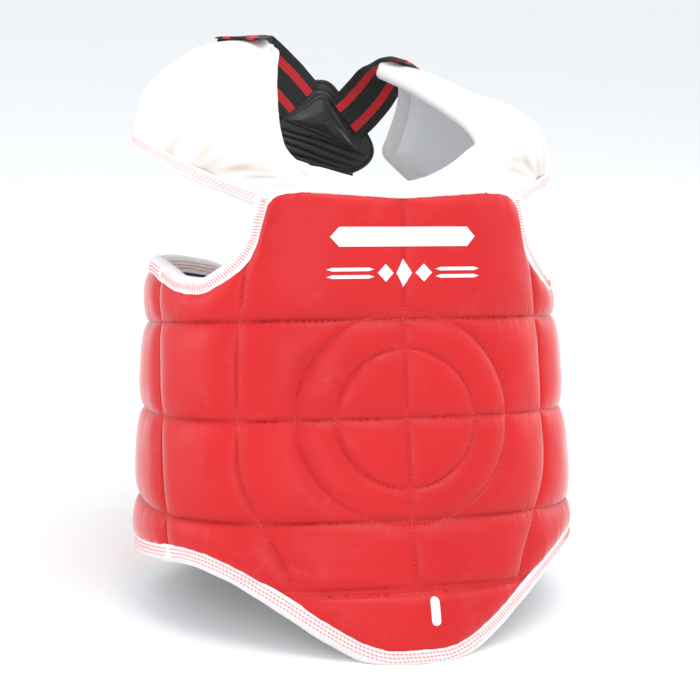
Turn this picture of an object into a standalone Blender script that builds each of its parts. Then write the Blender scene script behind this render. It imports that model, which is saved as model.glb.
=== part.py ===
"""Padded chest protector for sparring, standing on its hem and leaning back.

The trunk, wings, yoke and harness are drawn upright in the "body frame" (metres, front towards -Y,
wearer's left towards +X, z from the tip of the hem) and then tipped back onto the floor by the
"stance" empty. Names say the wearer's side.
"""

import math

import bmesh
import bpy
import numpy as np

# ---- driving dimensions (metres and degrees) ---------------------------------------------------
STANCE_LEAN = 13.0  # how far the protector leans back on its rear hem corners
STANCE_SHIFT = (0.0, -0.0258, -0.0329)  # centres the box and puts the hem on the floor

GAP = 0.0004  # clear space between neighbouring layers
EDGE_GAP = 0.0011  # clear space between a panel's edge and its binding
PANEL_THICK = 0.020
PANEL_EDGE_THICK = 0.011
SKIN = 0.0015  # vinyl or lining cloth
EDGE_TAPER = 0.028  # distance over which the padding thins towards a bound edge
PUFF = 0.0022  # rise of the quilted cells between stitch lines
PUFF_REACH = 0.020

SIDE_X_AT_ZERO, SIDE_SLOPE = 0.177, 0.07  # half width of the trunk and its taper upwards
HALF_DEPTH = 0.118
SQUARENESS = 2.33  # exponent of the rounded plan outline
SIDE_Y = -0.005

SEAM_ANGLE = 32.5  # end of the neck band, where a shoulder flap starts
ARMHOLE_ANGLE = 44.5  # where the armhole leaves the shoulder seam
REAR_ANGLE = 152.0  # rear edge of a wing
REAR_RADIUS = 0.13  # of the trunk's rounded outline near that edge
OUTER_COLUMN = 79.0  # angle of the front panel's outermost column, before it leans to the fold line
WING_GAP = 0.25  # angle between the fold line and the first column of a wing
CHEST_LINE, WAIST_LINE, BELLY_LINE, TIP_LINE = 0.250, 0.1775, 0.1033, 0.053

BIND_WIDTH = 0.011
NECK_BIND_WIDTH = 0.006
FLAP_BIND_WIDTH = 0.008
FLAP_THICK = 0.013
FLAP_EDGE_THICK = 0.0075
FLAP_TAPER = 0.016

STRAP_WIDTH, STRAP_THICK = 0.042, 0.0022
PAD_THICK = 0.011

WING_PIVOT_OUT = 0.0026  # pivot line just proud of the outer skin, which bows by 2 mm
YOKE_PIVOT = (0.0, -0.1175, 0.3425)
HARNESS_PIVOT = (0.0, 0.0430, 0.4760)
LOWER_STRAP_PIVOT = (0.0, 0.1010, 0.3640)

SIDES = (("right", -1), ("left", 1))
DOWN = np.array([0.0, 0.0, -1.0])

RED = (0.78, 0.015, 0.02)
WHITE = (0.86, 0.86, 0.87)
GREY = (0.62, 0.63, 0.66)
BLACK = (0.012, 0.012, 0.014)
FOAM = (0.72, 0.72, 0.66)


# ---- small helpers -----------------------------------------------------------------------------
def smooth_step(value, low, high):
    t = min(max((value - low) / (high - low), 0.0), 1.0)
    return t * t * (3 - 2 * t)


def mix(a, b, t):
    return np.asarray(a) * (1 - t) + np.asarray(b) * t


def unit(vector):
    return vector / np.linalg.norm(vector)


def spline(points, t):
    """Catmull-Rom curve through the points; t runs from 0 to 1."""
    points = [np.asarray(p, float) for p in points]
    last = len(points) - 1
    i = min(int(t * last), last - 1)
    s = t * last - i
    before = points[i - 1] if i > 0 else 2 * points[0] - points[1]
    after = points[i + 2] if i + 2 <= last else 2 * points[last] - points[last - 1]
    a, b = points[i], points[i + 1]
    ahead, back = (b - before) / 2, (after - a) / 2
    return (
        a * (2 * s**3 - 3 * s**2 + 1)
        + b * (3 * s**2 - 2 * s**3)
        + ahead * (s**3 - 2 * s**2 + s)
        + back * (s**3 - s**2)
    )


def outline(knots, angle):
    """Height of an outline at an angle, on a smooth curve through (angle, height) knots."""
    angles = [k[0] for k in knots]
    angle = min(max(angle, angles[0]), angles[-1])
    i = min(max(np.searchsorted(angles, angle) - 1, 0), len(knots) - 2)
    (a0, h0), (a1, h1) = knots[i], knots[i + 1]

    def slope(k):
        if k in (0, len(knots) - 1):
            return 0.0
        below = (knots[k][1] - knots[k - 1][1]) / (knots[k][0] - knots[k - 1][0])
        above = (knots[k + 1][1] - knots[k][1]) / (knots[k + 1][0] - knots[k][0])
        return 0.0 if below * above <= 0 else 2 * below * above / (below + above)

    span = a1 - a0
    s = (angle - a0) / span
    return (
        h0 * (2 * s**3 - 3 * s**2 + 1)
        + h1 * (3 * s**2 - 2 * s**3)
        + slope(i) * span * (s**3 - 2 * s**2 + s)
        + slope(i + 1) * span * (s**3 - s**2)
    )


# ---- the trunk's surface -----------------------------------------------------------------------
def front_y(z):
    """Front line of the trunk, flaring forward towards the hem."""
    return -0.1178 + 0.065 * (z - 0.2) - 0.35 * (z - 0.2) ** 2


def trunk_base(angle, z):
    half_width = SIDE_X_AT_ZERO - SIDE_SLOPE * z
    s, c = math.sin(math.radians(angle)), math.cos(math.radians(angle))
    radius = (abs(s / half_width) ** SQUARENESS + abs(c / HALF_DEPTH) ** SQUARENESS) ** (-1 / SQUARENESS)
    to_side = min(abs(angle) / 90, 1.0)
    centre_y = (front_y(z) + HALF_DEPTH) * (1 - to_side) + SIDE_Y * to_side
    return np.array([radius * s, centre_y - radius * c, z])


def trunk_normal(angle, z):
    across = trunk_base(angle + 0.5, z) - trunk_base(angle - 0.5, z)
    up = trunk_base(angle, z + 0.001) - trunk_base(angle, z - 0.001)
    return unit(np.cross(across, up))


def trunk_point(angle, z, out=0.0):
    return trunk_base(angle, z) + trunk_normal(angle, z) * out


TOP_KNOTS = (
    (0, 0.3400), (20, 0.3420), (34, 0.3438), (40, 0.3430), (ARMHOLE_ANGLE, 0.3370), (46.4, 0.3230),
    (48.2, 0.3070), (52, 0.2925), (58, 0.2800), (66, 0.2715), (74, 0.2735), (84, 0.2820), (96, 0.2885),
    (120, 0.2910), (140, 0.2860), (REAR_ANGLE, 0.2740),
)
HEM_TIP, HEM_SIDE, HEM_REAR = 0.0090, 0.0840, 0.0655


def top_edge(angle):
    return outline(TOP_KNOTS, abs(angle))


def hem_edge(angle):
    angle = abs(angle)
    side = HEM_TIP + (HEM_SIDE - HEM_TIP) * smooth_step(angle, 8, 72)
    return side + (HEM_REAR - HEM_SIDE) * smooth_step(angle, 100, REAR_ANGLE - 4)


def fold_angle(z):
    """The outer vertical stitch line, where a wing folds; it is straight in space."""
    return 74.3 + (z - 0.0730) * 52.0


def inner_stitch_angle(z):
    """The vertical stitch line between the front and side cells."""
    return 54.0 - 15.0 * smooth_step(0.150 - z, 0.0, 0.110) - 2.5 * smooth_step(z, 0.22, 0.30)


def stitch_height(line, angle):
    """A horizontal stitch line, rising a little towards the sides."""
    rise = {BELLY_LINE: 0.0104, WAIST_LINE: 0.005}.get(line, 0.0)
    return line + rise * min(max((abs(angle) - 45) / 45, 0.0), 1.2) ** 2


def puff(angle, z):
    """Rise of the quilted surface between its stitch lines."""
    radius = 0.15
    lines = (CHEST_LINE, WAIST_LINE, BELLY_LINE, TIP_LINE)
    rows = min(abs(z - stitch_height(line, angle)) for line in lines)
    columns = min(
        abs(math.radians(abs(angle) - line)) * radius for line in (0.0, inner_stitch_angle(z), fold_angle(z))
    )
    reach = min(rows, columns) / PUFF_REACH
    return PUFF * smooth_step(reach, 0.0, 1.0)


def panel_thickness(angle, z):
    edge = min(top_edge(angle) - z, z - hem_edge(angle), math.radians(REAR_ANGLE - abs(angle)) * REAR_RADIUS)
    full = smooth_step(edge, 0.0, EDGE_TAPER)
    return PANEL_EDGE_THICK + (PANEL_THICK - PANEL_EDGE_THICK) * full


# ---- mesh builders -----------------------------------------------------------------------------
def floor_normal():
    lean = math.radians(STANCE_LEAN)
    return np.array([0.0, -math.sin(lean), math.cos(lean)])


def above_floor(point):
    """Presses a point that would be under the floor flat onto it."""
    depth = float(point @ floor_normal()) + STANCE_SHIFT[2]
    return point - floor_normal() * min(depth, 0.0)


def finish_object(name, bm, material, pivot):
    bmesh.ops.recalc_face_normals(bm, faces=bm.faces)
    mesh = bpy.data.meshes.new(name)
    bm.to_mesh(mesh)
    bm.free()
    mesh.shade_smooth()
    mesh.set_sharp_from_angle(angle=math.radians(40))
    mesh.materials.append(material)
    piece = bpy.data.objects.new(name, mesh)
    piece.parent = PIVOTS[pivot]
    bpy.context.scene.collection.objects.link(piece)
    return piece


def local(points, pivot):
    """Body-frame points as seen from the piece's own pivot, kept above the floor."""
    origin = np.array(PIVOTS[pivot].location)
    return [above_floor(np.asarray(p, float)) - origin for p in points]


def slab(name, outer, inner, material, pivot):
    """A closed sheet between two grids of points, outer[column][row] and inner[column][row]."""
    bm = bmesh.new()
    faces_of = []
    for grid in (outer, inner):
        faces_of.append([[bm.verts.new(p) for p in local(column, pivot)] for column in grid])
    out, back = faces_of
    columns, rows = len(outer), len(outer[0])
    for i in range(columns - 1):
        for j in range(rows - 1):
            for side in (out, back):
                bm.faces.new((side[i][j], side[i + 1][j], side[i + 1][j + 1]))
                bm.faces.new((side[i][j], side[i + 1][j + 1], side[i][j + 1]))
    rim = [(i, 0) for i in range(columns)] + [(columns - 1, j) for j in range(1, rows)]
    rim += [(i, rows - 1) for i in range(columns - 2, -1, -1)] + [(0, j) for j in range(rows - 2, 0, -1)]
    for (i, j), (k, m) in zip(rim, rim[1:] + rim[:1]):
        bm.faces.new((out[i][j], out[k][m], back[k][m], back[i][j]))
    return finish_object(name, bm, material, pivot)


def swept(name, sections, material, pivot):
    """A closed bar through rings of points that all have the same count."""
    bm = bmesh.new()
    rings = [[bm.verts.new(p) for p in local(section, pivot)] for section in sections]
    count = len(rings[0])
    for a, b in zip(rings, rings[1:]):
        for i in range(count):
            j = (i + 1) % count
            bm.faces.new((a[i], a[j], b[j], b[i]))
    bm.faces.new(rings[0])
    bm.faces.new(rings[-1])
    return finish_object(name, bm, material, pivot)


def edge_section(edge, outward, normal, width, thick, start=EDGE_GAP):
    """Ring of a binding: it sits on a panel's edge, with its outer long side rounded."""
    top, bottom = 0.0004, -thick + 0.0004
    middle = (top + bottom) / 2
    shape = (
        (start, top), (width * 0.72, top - 0.0002), (width * 0.95, mix(top, middle, 0.35)),
        (width, middle), (width * 0.95, mix(bottom, middle, 0.35)), (width * 0.72, bottom + 0.0002),
        (start, bottom),
    )
    return [edge + outward * along + normal * float(rise) for along, rise in shape]


def binding(name, edges, normals, width, thicks, material, pivot, flip=1, first_ahead=None):
    """A binding along a row of edge points; flip picks the side that it stands out on, and
    first_ahead turns its first section, where it meets another binding in a corner."""
    sections = []
    for i, (edge, normal) in enumerate(zip(edges, normals)):
        ahead = edges[min(i + 1, len(edges) - 1)] - edges[max(i - 1, 0)]
        if i == 0 and first_ahead is not None:
            ahead = first_ahead
        outward = unit(np.cross(ahead, normal)) * flip
        sections.append(edge_section(edge, outward, normal, width, thicks[i]))
    return swept(name, sections, material, pivot)


def ribbon(name, centres, across, normals, width, thick, material, pivot):
    """A flat strap: centre points, directions across it and normals of its outer face."""
    sections = []
    for centre, side, normal in zip(centres, across, normals):
        half, rise = unit(np.asarray(side, float)) * width / 2, unit(np.asarray(normal, float)) * thick
        centre = np.asarray(centre, float)
        sections.append([centre - half, centre + half, centre + half + rise, centre - half + rise])
    return swept(name, sections, material, pivot)


# ---- materials and pivots ----------------------------------------------------------------------
def make_material(name, color, roughness, metallic=0.0):
    material = bpy.data.materials.new(name)
    material.use_nodes = True
    shader = material.node_tree.nodes["Principled BSDF"]
    shader.inputs["Base Color"].default_value = (*color, 1.0)
    shader.inputs["Roughness"].default_value = roughness
    shader.inputs["Metallic"].default_value = metallic
    return material


def wing_pivot(side):
    top, bottom = (trunk_point(fold_angle(z) * side, z, WING_PIVOT_OUT) for z in (0.28, 0.08))
    return (top + bottom) / 2, unit(top - bottom)


def make_pivots():
    """The stance empty, and an empty on each joint's axis that moving pieces hang from."""
    places = {"trunk": (0, 0, 0), "yoke": YOKE_PIVOT, "harness": HARNESS_PIVOT, "strap": LOWER_STRAP_PIVOT}
    for name, side in SIDES:
        places[f"{name}_wing"] = tuple(wing_pivot(side)[0])
    stance = bpy.data.objects.new("stance", None)
    stance.rotation_euler = (math.radians(-STANCE_LEAN), 0, 0)
    stance.location = STANCE_SHIFT
    bpy.context.scene.collection.objects.link(stance)
    pivots = {}
    for name, place in places.items():
        empty = bpy.data.objects.new(f"{name}_pivot", None)
        empty.location = place
        empty.parent = stance
        bpy.context.scene.collection.objects.link(empty)
        pivots[name] = empty
    return pivots


# ---- the padded panels of the trunk ------------------------------------------------------------
def layer_depths(thick):
    """Outer and inner depth of the cover, the foam and the lining under the outer surface."""
    return {
        "cover": (0.0, SKIN),
        "foam": (SKIN + GAP, thick - SKIN - GAP),
        "lining": (thick - SKIN, thick),
    }


def row_fractions():
    """Rows from the hem to the top edge, closer together near the bound edges."""
    return (0.0, 0.07, 0.17, 0.29, 0.42, 0.55, 0.68, 0.80, 0.90, 0.96, 1.0)


def panel(prefix, angle_at, columns, pivot, materials):
    """Cover, foam and lining of a panel; angle_at(column, z) gives the angle along a column."""
    grids = {layer: ([], []) for layer in ("cover", "foam", "lining")}
    for column in columns:
        low_angle = angle_at(column, hem_edge(angle_at(column, 0.08)))
        high_angle = angle_at(column, top_edge(angle_at(column, 0.28)))
        low, high = hem_edge(low_angle), top_edge(high_angle)
        stacks = {layer: ([], []) for layer in grids}
        for fraction in row_fractions():
            z = low + (high - low) * fraction
            angle = angle_at(column, z)
            rise = puff(angle, z)
            for layer, depths in layer_depths(panel_thickness(angle, z)).items():
                for stack, depth in zip(stacks[layer], depths):
                    lift = rise if depth < PANEL_EDGE_THICK / 3 else 0.0
                    stack.append(trunk_point(angle, z, lift - depth))
        for layer in grids:
            for grid, stack in zip(grids[layer], stacks[layer]):
                grid.append(stack)
    for layer, (outer, inner) in grids.items():
        slab(f"{prefix}_{layer}", outer, inner, materials[layer], pivot)


def even_along_top(low, high, count):
    """Angles from low to high, spread evenly along the top outline so that steep parts get enough."""
    angles = np.linspace(low, high, 400)
    points = np.array([trunk_base(a, top_edge(a)) for a in angles])
    length = np.concatenate([[0], np.cumsum(np.linalg.norm(np.diff(points, axis=0), axis=1))])
    return list(np.interp(np.linspace(0, length[-1], count), length, angles))


def armhole_columns():
    return even_along_top(ARMHOLE_ANGLE, OUTER_COLUMN, 10)


def front_columns():
    half = even_along_top(0.0, ARMHOLE_ANGLE, 10)[:-1] + armhole_columns()
    return [-a for a in half[:0:-1]] + half


def front_angle(column, z):
    """Columns near the side lean with the fold line; the others stay upright."""
    share = smooth_step(abs(column), 56, 79)
    return math.copysign(abs(column) + (fold_angle(z) - OUTER_COLUMN) * share, column)


def wing_angle(column, z):
    """Columns from the fold line (0) to the rear edge (1) of the left wing."""
    start = fold_angle(z) + WING_GAP
    return start + (REAR_ANGLE - start) * column


def make_front(materials):
    columns = front_columns()
    panel("front", front_angle, columns, "trunk", materials)
    edges, normals, thicks = [], [], []
    for column in columns:
        angle = front_angle(column, hem_edge(column))
        edges.append(trunk_point(angle, hem_edge(angle)))
        normals.append(trunk_normal(angle, hem_edge(angle)))
        thicks.append(PANEL_EDGE_THICK)
    binding("front_hem_binding", edges, normals, BIND_WIDTH, thicks, materials["binding"], "trunk")
    for name, side in SIDES:
        edges, normals = [], []
        for column in armhole_columns():
            angle = front_angle(column, top_edge(column)) * side
            edges.append(trunk_point(angle, top_edge(angle)))
            normals.append(trunk_normal(angle, top_edge(angle)))
        thicks = [PANEL_EDGE_THICK] * len(edges)
        binding(
            f"{name}_armhole_binding", edges, normals, BIND_WIDTH, thicks, materials["binding"], "trunk",
            flip=-side, first_ahead=DOWN,
        )


def make_wing(name, side, materials):
    columns = np.linspace(0, 1, 9)
    pivot = f"{name}_wing"
    panel(f"{name}_wing", lambda column, z: side * wing_angle(column, z), columns, pivot, materials)
    path = []
    for column in columns:
        z = top_edge(wing_angle(column, 0.28))
        path.append((wing_angle(column, z), z))
    low, high = hem_edge(REAR_ANGLE), top_edge(REAR_ANGLE)
    path += [(REAR_ANGLE, low + (high - low) * f) for f in row_fractions()[-2:0:-1]]
    for column in columns[::-1]:
        z = hem_edge(wing_angle(column, 0.08))
        path.append((wing_angle(column, z), z))
    edges = [trunk_point(side * angle, z) for angle, z in path]
    normals = [trunk_normal(side * angle, z) for angle, z in path]
    thicks = [PANEL_EDGE_THICK] * len(edges)
    binding(
        f"{name}_wing_binding", edges, normals, BIND_WIDTH, thicks, materials["binding"], pivot, flip=-side
    )


PATCH_ANGLES, PATCH_HEIGHTS = (117.0, 143.0), (0.176, 0.246)
PATCH_LIFT = 0.0028
HOOK_ANGLES, HOOK_HEIGHTS, HOOK_THICK = (120.0, 140.0), (0.182, 0.244), 0.0025


def make_loop_patch(name, side, material):
    """Hook-and-loop patch sewn on the outside of a wing."""
    outer, inner = [], []
    for angle in np.linspace(*PATCH_ANGLES, 5):
        heights = np.linspace(*PATCH_HEIGHTS, 4)
        outer.append([trunk_point(side * angle, z, PATCH_LIFT + 0.0012) for z in heights])
        inner.append([trunk_point(side * angle, z, PATCH_LIFT) for z in np.linspace(*PATCH_HEIGHTS, 4)])
    slab(f"{name}_loop_patch", outer, inner, material, f"{name}_wing")


# ---- the shoulder yoke -------------------------------------------------------------------------
NECK_LOW = 0.3440  # top of the neck band in the middle
NECK_RISE = {"right": 0.0135, "left": 0.0317}  # how much higher it is at each end


def neck_edge(angle):
    rise = NECK_RISE["left"] if angle > 0 else NECK_RISE["right"]
    return NECK_LOW + rise * abs(angle / SEAM_ANGLE) ** 1.9


# Each row of a flap runs from its neckline edge over its crown to its outer edge, x away from the centre.
RIGHT_FLAP_ROWS = (
    ((0.0737, -0.1078, 0.3575), (0.1050, -0.1000, 0.3610), (0.1390, -0.0800, 0.3575)),
    ((0.0850, -0.0930, 0.3760), (0.1250, -0.0800, 0.3860), (0.1630, -0.0480, 0.3750)),
    ((0.0822, -0.0660, 0.3985), (0.1450, -0.0450, 0.4090), (0.1690, 0.0020, 0.3900)),
    ((0.0731, -0.0340, 0.4225), (0.1450, -0.0060, 0.4350), (0.1560, 0.0440, 0.3980)),
    ((0.0633, -0.0060, 0.4450), (0.1190, 0.0160, 0.4570), (0.1270, 0.0660, 0.4120)),
    ((0.0500, 0.0280, 0.4660), (0.0860, 0.0360, 0.4630), (0.0980, 0.0720, 0.4260)),
)
LEFT_FLAP_ROWS = (
    ((0.0727, -0.1065, 0.3757), (0.1000, -0.1030, 0.3700), (0.1285, -0.0780, 0.3540)),
    ((0.0693, -0.0920, 0.3957), (0.1220, -0.0820, 0.3950), (0.1540, -0.0360, 0.3610)),
    ((0.0625, -0.0660, 0.4110), (0.1320, -0.0380, 0.4060), (0.1450, 0.0260, 0.3540)),
    ((0.0560, -0.0360, 0.4250), (0.1180, 0.0020, 0.4150), (0.1130, 0.0680, 0.3560)),
    ((0.0464, -0.0080, 0.4384), (0.0940, 0.0280, 0.4310), (0.0880, 0.0780, 0.3700)),
    ((0.0365, 0.0250, 0.4510), (0.0700, 0.0420, 0.4420), (0.0680, 0.0780, 0.3880)),
)
FLAP_COLUMNS, FLAP_ROW_COUNT = 8, 11


SEAM_REACH = 0.22  # share of a flap's length over which it turns into the trunk's own surface


def seam_angle(u):
    return SEAM_ANGLE + 0.2 + (ARMHOLE_ANGLE - SEAM_ANGLE - 0.4) * u


def seam_point(side, u):
    angle = side * seam_angle(u)
    return trunk_point(angle, top_edge(angle) + EDGE_GAP)


def seam_row(side):
    return [seam_point(side, u) for u in (0.0, 0.5, 1.0)]


def flap_point(rows, side, u, v):
    """Point of a flap's outer face: u from the neckline to the outer edge, v from seam to tip."""
    lines = [[np.array([x * side, y, z]) for x, y, z in row] for row in rows]
    lines.insert(0, seam_row(side))
    start, crown, end = (spline([line[k] for line in lines], v) for k in range(3))
    peak = 2 * crown - (start + end) / 2
    smooth = start * (1 - u) ** 2 + peak * 2 * u * (1 - u) + end * u**2
    if v >= SEAM_REACH:
        return smooth
    first, middle, last = seam_row(side)
    seam_peak = 2 * middle - (first + last) / 2
    plain = first * (1 - u) ** 2 + seam_peak * 2 * u * (1 - u) + last * u**2
    return smooth + (seam_point(side, u) - plain) * (1 - v / SEAM_REACH) ** 2


def flap_normal(rows, side, u, v):
    step = 0.01
    across = flap_point(rows, side, min(u + step, 1), v) - flap_point(rows, side, max(u - step, 0), v)
    along = flap_point(rows, side, u, min(v + step, 1)) - flap_point(rows, side, u, max(v - step, 0))
    normal = unit(np.cross(across, along)) * side
    if v >= SEAM_REACH:
        return normal
    at_seam = trunk_normal(side * seam_angle(u), top_edge(seam_angle(u)))
    return unit(mix(at_seam, normal, smooth_step(v, 0, SEAM_REACH)))


def flap_thickness(rows, side, u, v):
    here = flap_point(rows, side, u, v)
    reach = min(
        np.linalg.norm(here - flap_point(rows, side, 0, v)),
        np.linalg.norm(here - flap_point(rows, side, 1, v)),
        np.linalg.norm(here - flap_point(rows, side, u, 1)),
    )
    full = smooth_step(reach, 0.0, FLAP_TAPER)
    edge = mix(PANEL_EDGE_THICK, FLAP_EDGE_THICK, smooth_step(v, 0, 0.15))
    return float(edge + (FLAP_THICK - edge) * full)


def make_flap(name, side, rows, materials):
    across, along = np.linspace(0, 1, FLAP_COLUMNS), np.linspace(0, 1, FLAP_ROW_COUNT)
    for layer in ("cover", "foam", "lining"):
        outer, inner = [], []
        for u in across:
            grids = ([], [])
            for v in along:
                normal = flap_normal(rows, side, u, v)
                depths = layer_depths(flap_thickness(rows, side, u, v))[layer]
                for grid, depth in zip(grids, depths):
                    grid.append(flap_point(rows, side, u, v) - normal * depth)
            outer.append(grids[0])
            inner.append(grids[1])
        slab(f"{name}_flap_{layer}", outer, inner, materials[layer], "yoke")
    path = [(1.0, v) for v in along[1:]] + [(u, 1.0) for u in across[-2::-1]]
    edges = [flap_point(rows, side, u, v) for u, v in path]
    normals = [flap_normal(rows, side, u, v) for u, v in path]
    thicks = [flap_thickness(rows, side, u, v) for u, v in path]
    binding(
        f"{name}_flap_binding", edges, normals, FLAP_BIND_WIDTH, thicks, materials["binding"], "yoke",
        flip=side,
    )


def make_neck(materials):
    outer, inner = [], []
    columns = np.linspace(-SEAM_ANGLE + 0.15, SEAM_ANGLE - 0.15, 17)
    for angle in columns:
        low, high = top_edge(angle) + GAP, neck_edge(angle)
        outer.append([trunk_point(angle, z) for z in (low, high)])
        inner.append([trunk_point(angle, z, -PANEL_EDGE_THICK) for z in (low, high)])
    slab("neck_band", outer, inner, materials["cover"], "yoke")
    edges, normals, thicks = [], [], []
    flaps = (("right", -1, RIGHT_FLAP_ROWS), ("left", 1, LEFT_FLAP_ROWS))
    for name, side, rows in flaps:
        spans = np.linspace(0, 1, FLAP_ROW_COUNT)[2:][::side]
        part = [(flap_point(rows, side, 0, v), flap_normal(rows, side, 0, v)) for v in spans]
        depth = [flap_thickness(rows, side, 0, v) for v in spans]
        if side > 0:
            for angle in columns:
                edges.append(trunk_point(angle, neck_edge(angle)))
                normals.append(trunk_normal(angle, neck_edge(angle)))
                thicks.append(PANEL_EDGE_THICK)
        edges += [p for p, _ in part]
        normals += [n for _, n in part]
        thicks += depth
    binding(
        "neckline_binding", edges, normals, NECK_BIND_WIDTH, thicks, materials["binding"], "yoke", flip=-1
    )


# ---- the back harness --------------------------------------------------------------------------
PAD_TOP, PAD_BOTTOM, PAD_HALF_WIDTH = 0.446, 0.366, 0.055
PAD_TOP_HALF_WIDTH = 0.020
PAD_X = 0.0075  # the slack straps let the pad hang a little to the left


REINFORCEMENT = (
    (-0.0235, 0.4110), (0.0400, 0.3870), (0.0420, 0.3900),
    (0.0125, 0.4300), (0.0040, 0.4325), (-0.0235, 0.4145),
)  # corners (x, z) of the triangle between the ends of the upper straps


def pad_y(z):
    return 0.0880 + (PAD_TOP - z) * 0.12


def pad_outline(inset, count=28):
    """Rounded triangle, apex up, as (x, z) points."""
    height, middle = PAD_TOP - PAD_BOTTOM, (PAD_TOP + PAD_BOTTOM) / 2
    points = []
    for k in range(count):
        turn = 2 * math.pi * k / count
        c, s = math.cos(turn), math.sin(turn)
        squash = (abs(c) ** 2.8 + abs(s) ** 2.8) ** (-1 / 2.8)
        level = s * squash
        width = mix(PAD_HALF_WIDTH, PAD_TOP_HALF_WIDTH, smooth_step(level, -0.75, 1.05))
        points.append((PAD_X + (width - inset) * c * squash, middle + level * (height / 2 - inset)))
    return points


def pad_slice(points, depth):
    return [np.array([x, pad_y(z) + depth, z]) for x, z in points]


def make_pad(materials):
    """Back pad: front and rear vinyl, foam, corner reinforcement and binding, crossing nothing."""
    rim = 0.005
    inside = pad_outline(rim + GAP)
    small = pad_outline(rim + 0.010)
    front, back = -PAD_THICK / 2, PAD_THICK / 2
    swept("pad_inner_cover", [pad_slice(small, front), pad_slice(inside, front + 0.0018),
                              pad_slice(inside, front + 0.0030)], materials["vinyl"], "harness")
    swept("pad_foam", [pad_slice(inside, front + 0.0030 + GAP), pad_slice(inside, back - 0.0030 - GAP)],
          materials["foam"], "harness")
    swept("pad_outer_cover", [pad_slice(inside, back - 0.0030), pad_slice(inside, back - 0.0018),
                              pad_slice(small, back)], materials["vinyl"], "harness")
    outer_ring, inner_ring = pad_outline(0.0), pad_outline(rim)
    bm = bmesh.new()
    loops = [
        [bm.verts.new(p) for p in local(pad_slice(ring, depth), "harness")]
        for ring, depth in (
            (inner_ring, -0.0045), (outer_ring, -0.0030), (outer_ring, 0.0030), (inner_ring, 0.0045)
        )
    ]
    for a, b in zip(loops, loops[1:] + loops[:1]):
        for i in range(len(a)):
            j = (i + 1) % len(a)
            bm.faces.new((a[i], a[j], b[j], b[i]))
    finish_object("pad_binding", bm, materials["vinyl"], "harness")
    lift = front - GAP
    patch = [pad_slice(REINFORCEMENT, depth) for depth in (lift - 0.0012, lift)]
    swept("pad_reinforcement", patch, materials["vinyl"], "harness")


STRAP_PATHS = {
    "right": (
        (-0.0690, 0.0460, 0.4690), (-0.0660, 0.0610, 0.4690),
        (-0.0260, 0.0750, 0.4450), (-0.0100, 0.0812, 0.4265),
    ),
    "left": (
        (0.0555, 0.0450, 0.4545), (0.0575, 0.0620, 0.4520),
        (0.0460, 0.0755, 0.4270), (0.0285, 0.0812, 0.4130),
    ),
}  # each upper strap's control points, from the flap's tip to the pad's inner face
STRAP_TURNS = {"right": (0.77, 0.0, 0.64), "left": (0.62, 0.0, -0.78)}  # direction across each strap's end
STRAP_BOW = (0.0, 0.0040, 0.0120)  # how far the middle of a strap bows back and up


def make_upper_strap(name, material):
    """Elastic from a flap's tip over the shoulder and down to the back pad."""
    tip, leaving, arriving, end = np.array(STRAP_PATHS[name])
    centres = [
        tip * (1 - t) ** 3 + leaving * 3 * t * (1 - t) ** 2 + arriving * 3 * t**2 * (1 - t) + end * t**3
        for t in np.linspace(0, 1, 8)
    ]
    across, normals = [], []
    for i, t in enumerate(np.linspace(0, 1, 8)):
        along = unit(centres[min(i + 1, 7)] - centres[max(i - 1, 0)])
        wanted = mix((1.0, 0.0, 0.0), STRAP_TURNS[name], smooth_step(t, 0, 1))
        across.append(unit(wanted - along * (wanted @ along)))
        normals.append(np.cross(across[-1], along))
    ribbon(f"{name}_upper_strap", centres, across, normals, STRAP_WIDTH, STRAP_THICK, material, "harness")


ANCHOR_ACROSS, ANCHOR_ALONG = (0.05, 0.49), (0.945, 0.995)  # shares of a flap's width and length


def make_anchor(name, side, rows, material):
    """Strap end sewn on the outer face of a flap's tip."""
    outer, inner = [], []
    for u in np.linspace(*ANCHOR_ACROSS, 5):
        spans = np.linspace(*ANCHOR_ALONG, 3)
        pairs = [(flap_point(rows, side, u, v), flap_normal(rows, side, u, v)) for v in spans]
        outer.append([p + n * (EDGE_GAP + STRAP_THICK) for p, n in pairs])
        inner.append([p + n * EDGE_GAP for p, n in pairs])
    slab(f"{name}_strap_anchor", outer, inner, material, "yoke")


LOWER_STRAP_PATH = (
    (0.0220, 0.1020, 0.3575), (0.0255, 0.1140, 0.3200), (0.0330, 0.1200, 0.2850), (0.0450, 0.1240, 0.2430),
)  # from the pad's bottom edge down between the wings
LOWER_STRAP_TURN = (149.5, 0.217, 0.0100)  # angle, height and lift as it rounds a wing's rear edge
LOWER_STRAP_END = (144.0, 0.213)


def make_lower_strap(name, side, materials):
    """Elastic from the pad's lower corner down over the wing, with the hook tab on its end."""
    lift = PATCH_LIFT + 0.0012 + GAP
    centres = [np.array(point) * (side, 1, 1) for point in LOWER_STRAP_PATH]
    normals = [np.array([0, 1.0, 0.1])] * len(LOWER_STRAP_PATH)
    for angle, z, out in (LOWER_STRAP_TURN, (*LOWER_STRAP_END, lift)):
        centres.append(trunk_point(side * angle, z, out))
        normals.append(trunk_normal(side * angle, z))
    across = []
    for i, normal in enumerate(normals):
        along = centres[min(i + 1, len(centres) - 1)] - centres[max(i - 1, 0)]
        across.append(np.cross(along, normal))
    ribbon(f"{name}_lower_strap", centres, across, normals, STRAP_WIDTH - 0.004, STRAP_THICK,
           materials["strap"], "strap")
    outer, inner = [], []
    for angle in np.linspace(*HOOK_ANGLES, 5):
        heights = np.linspace(*HOOK_HEIGHTS, 4)
        outer.append([trunk_point(side * angle, z, lift + HOOK_THICK) for z in heights])
        inner.append([trunk_point(side * angle, z, lift) for z in heights])
    slab(f"{name}_hook_tab", outer, inner, materials["hook"], "strap")


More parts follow.
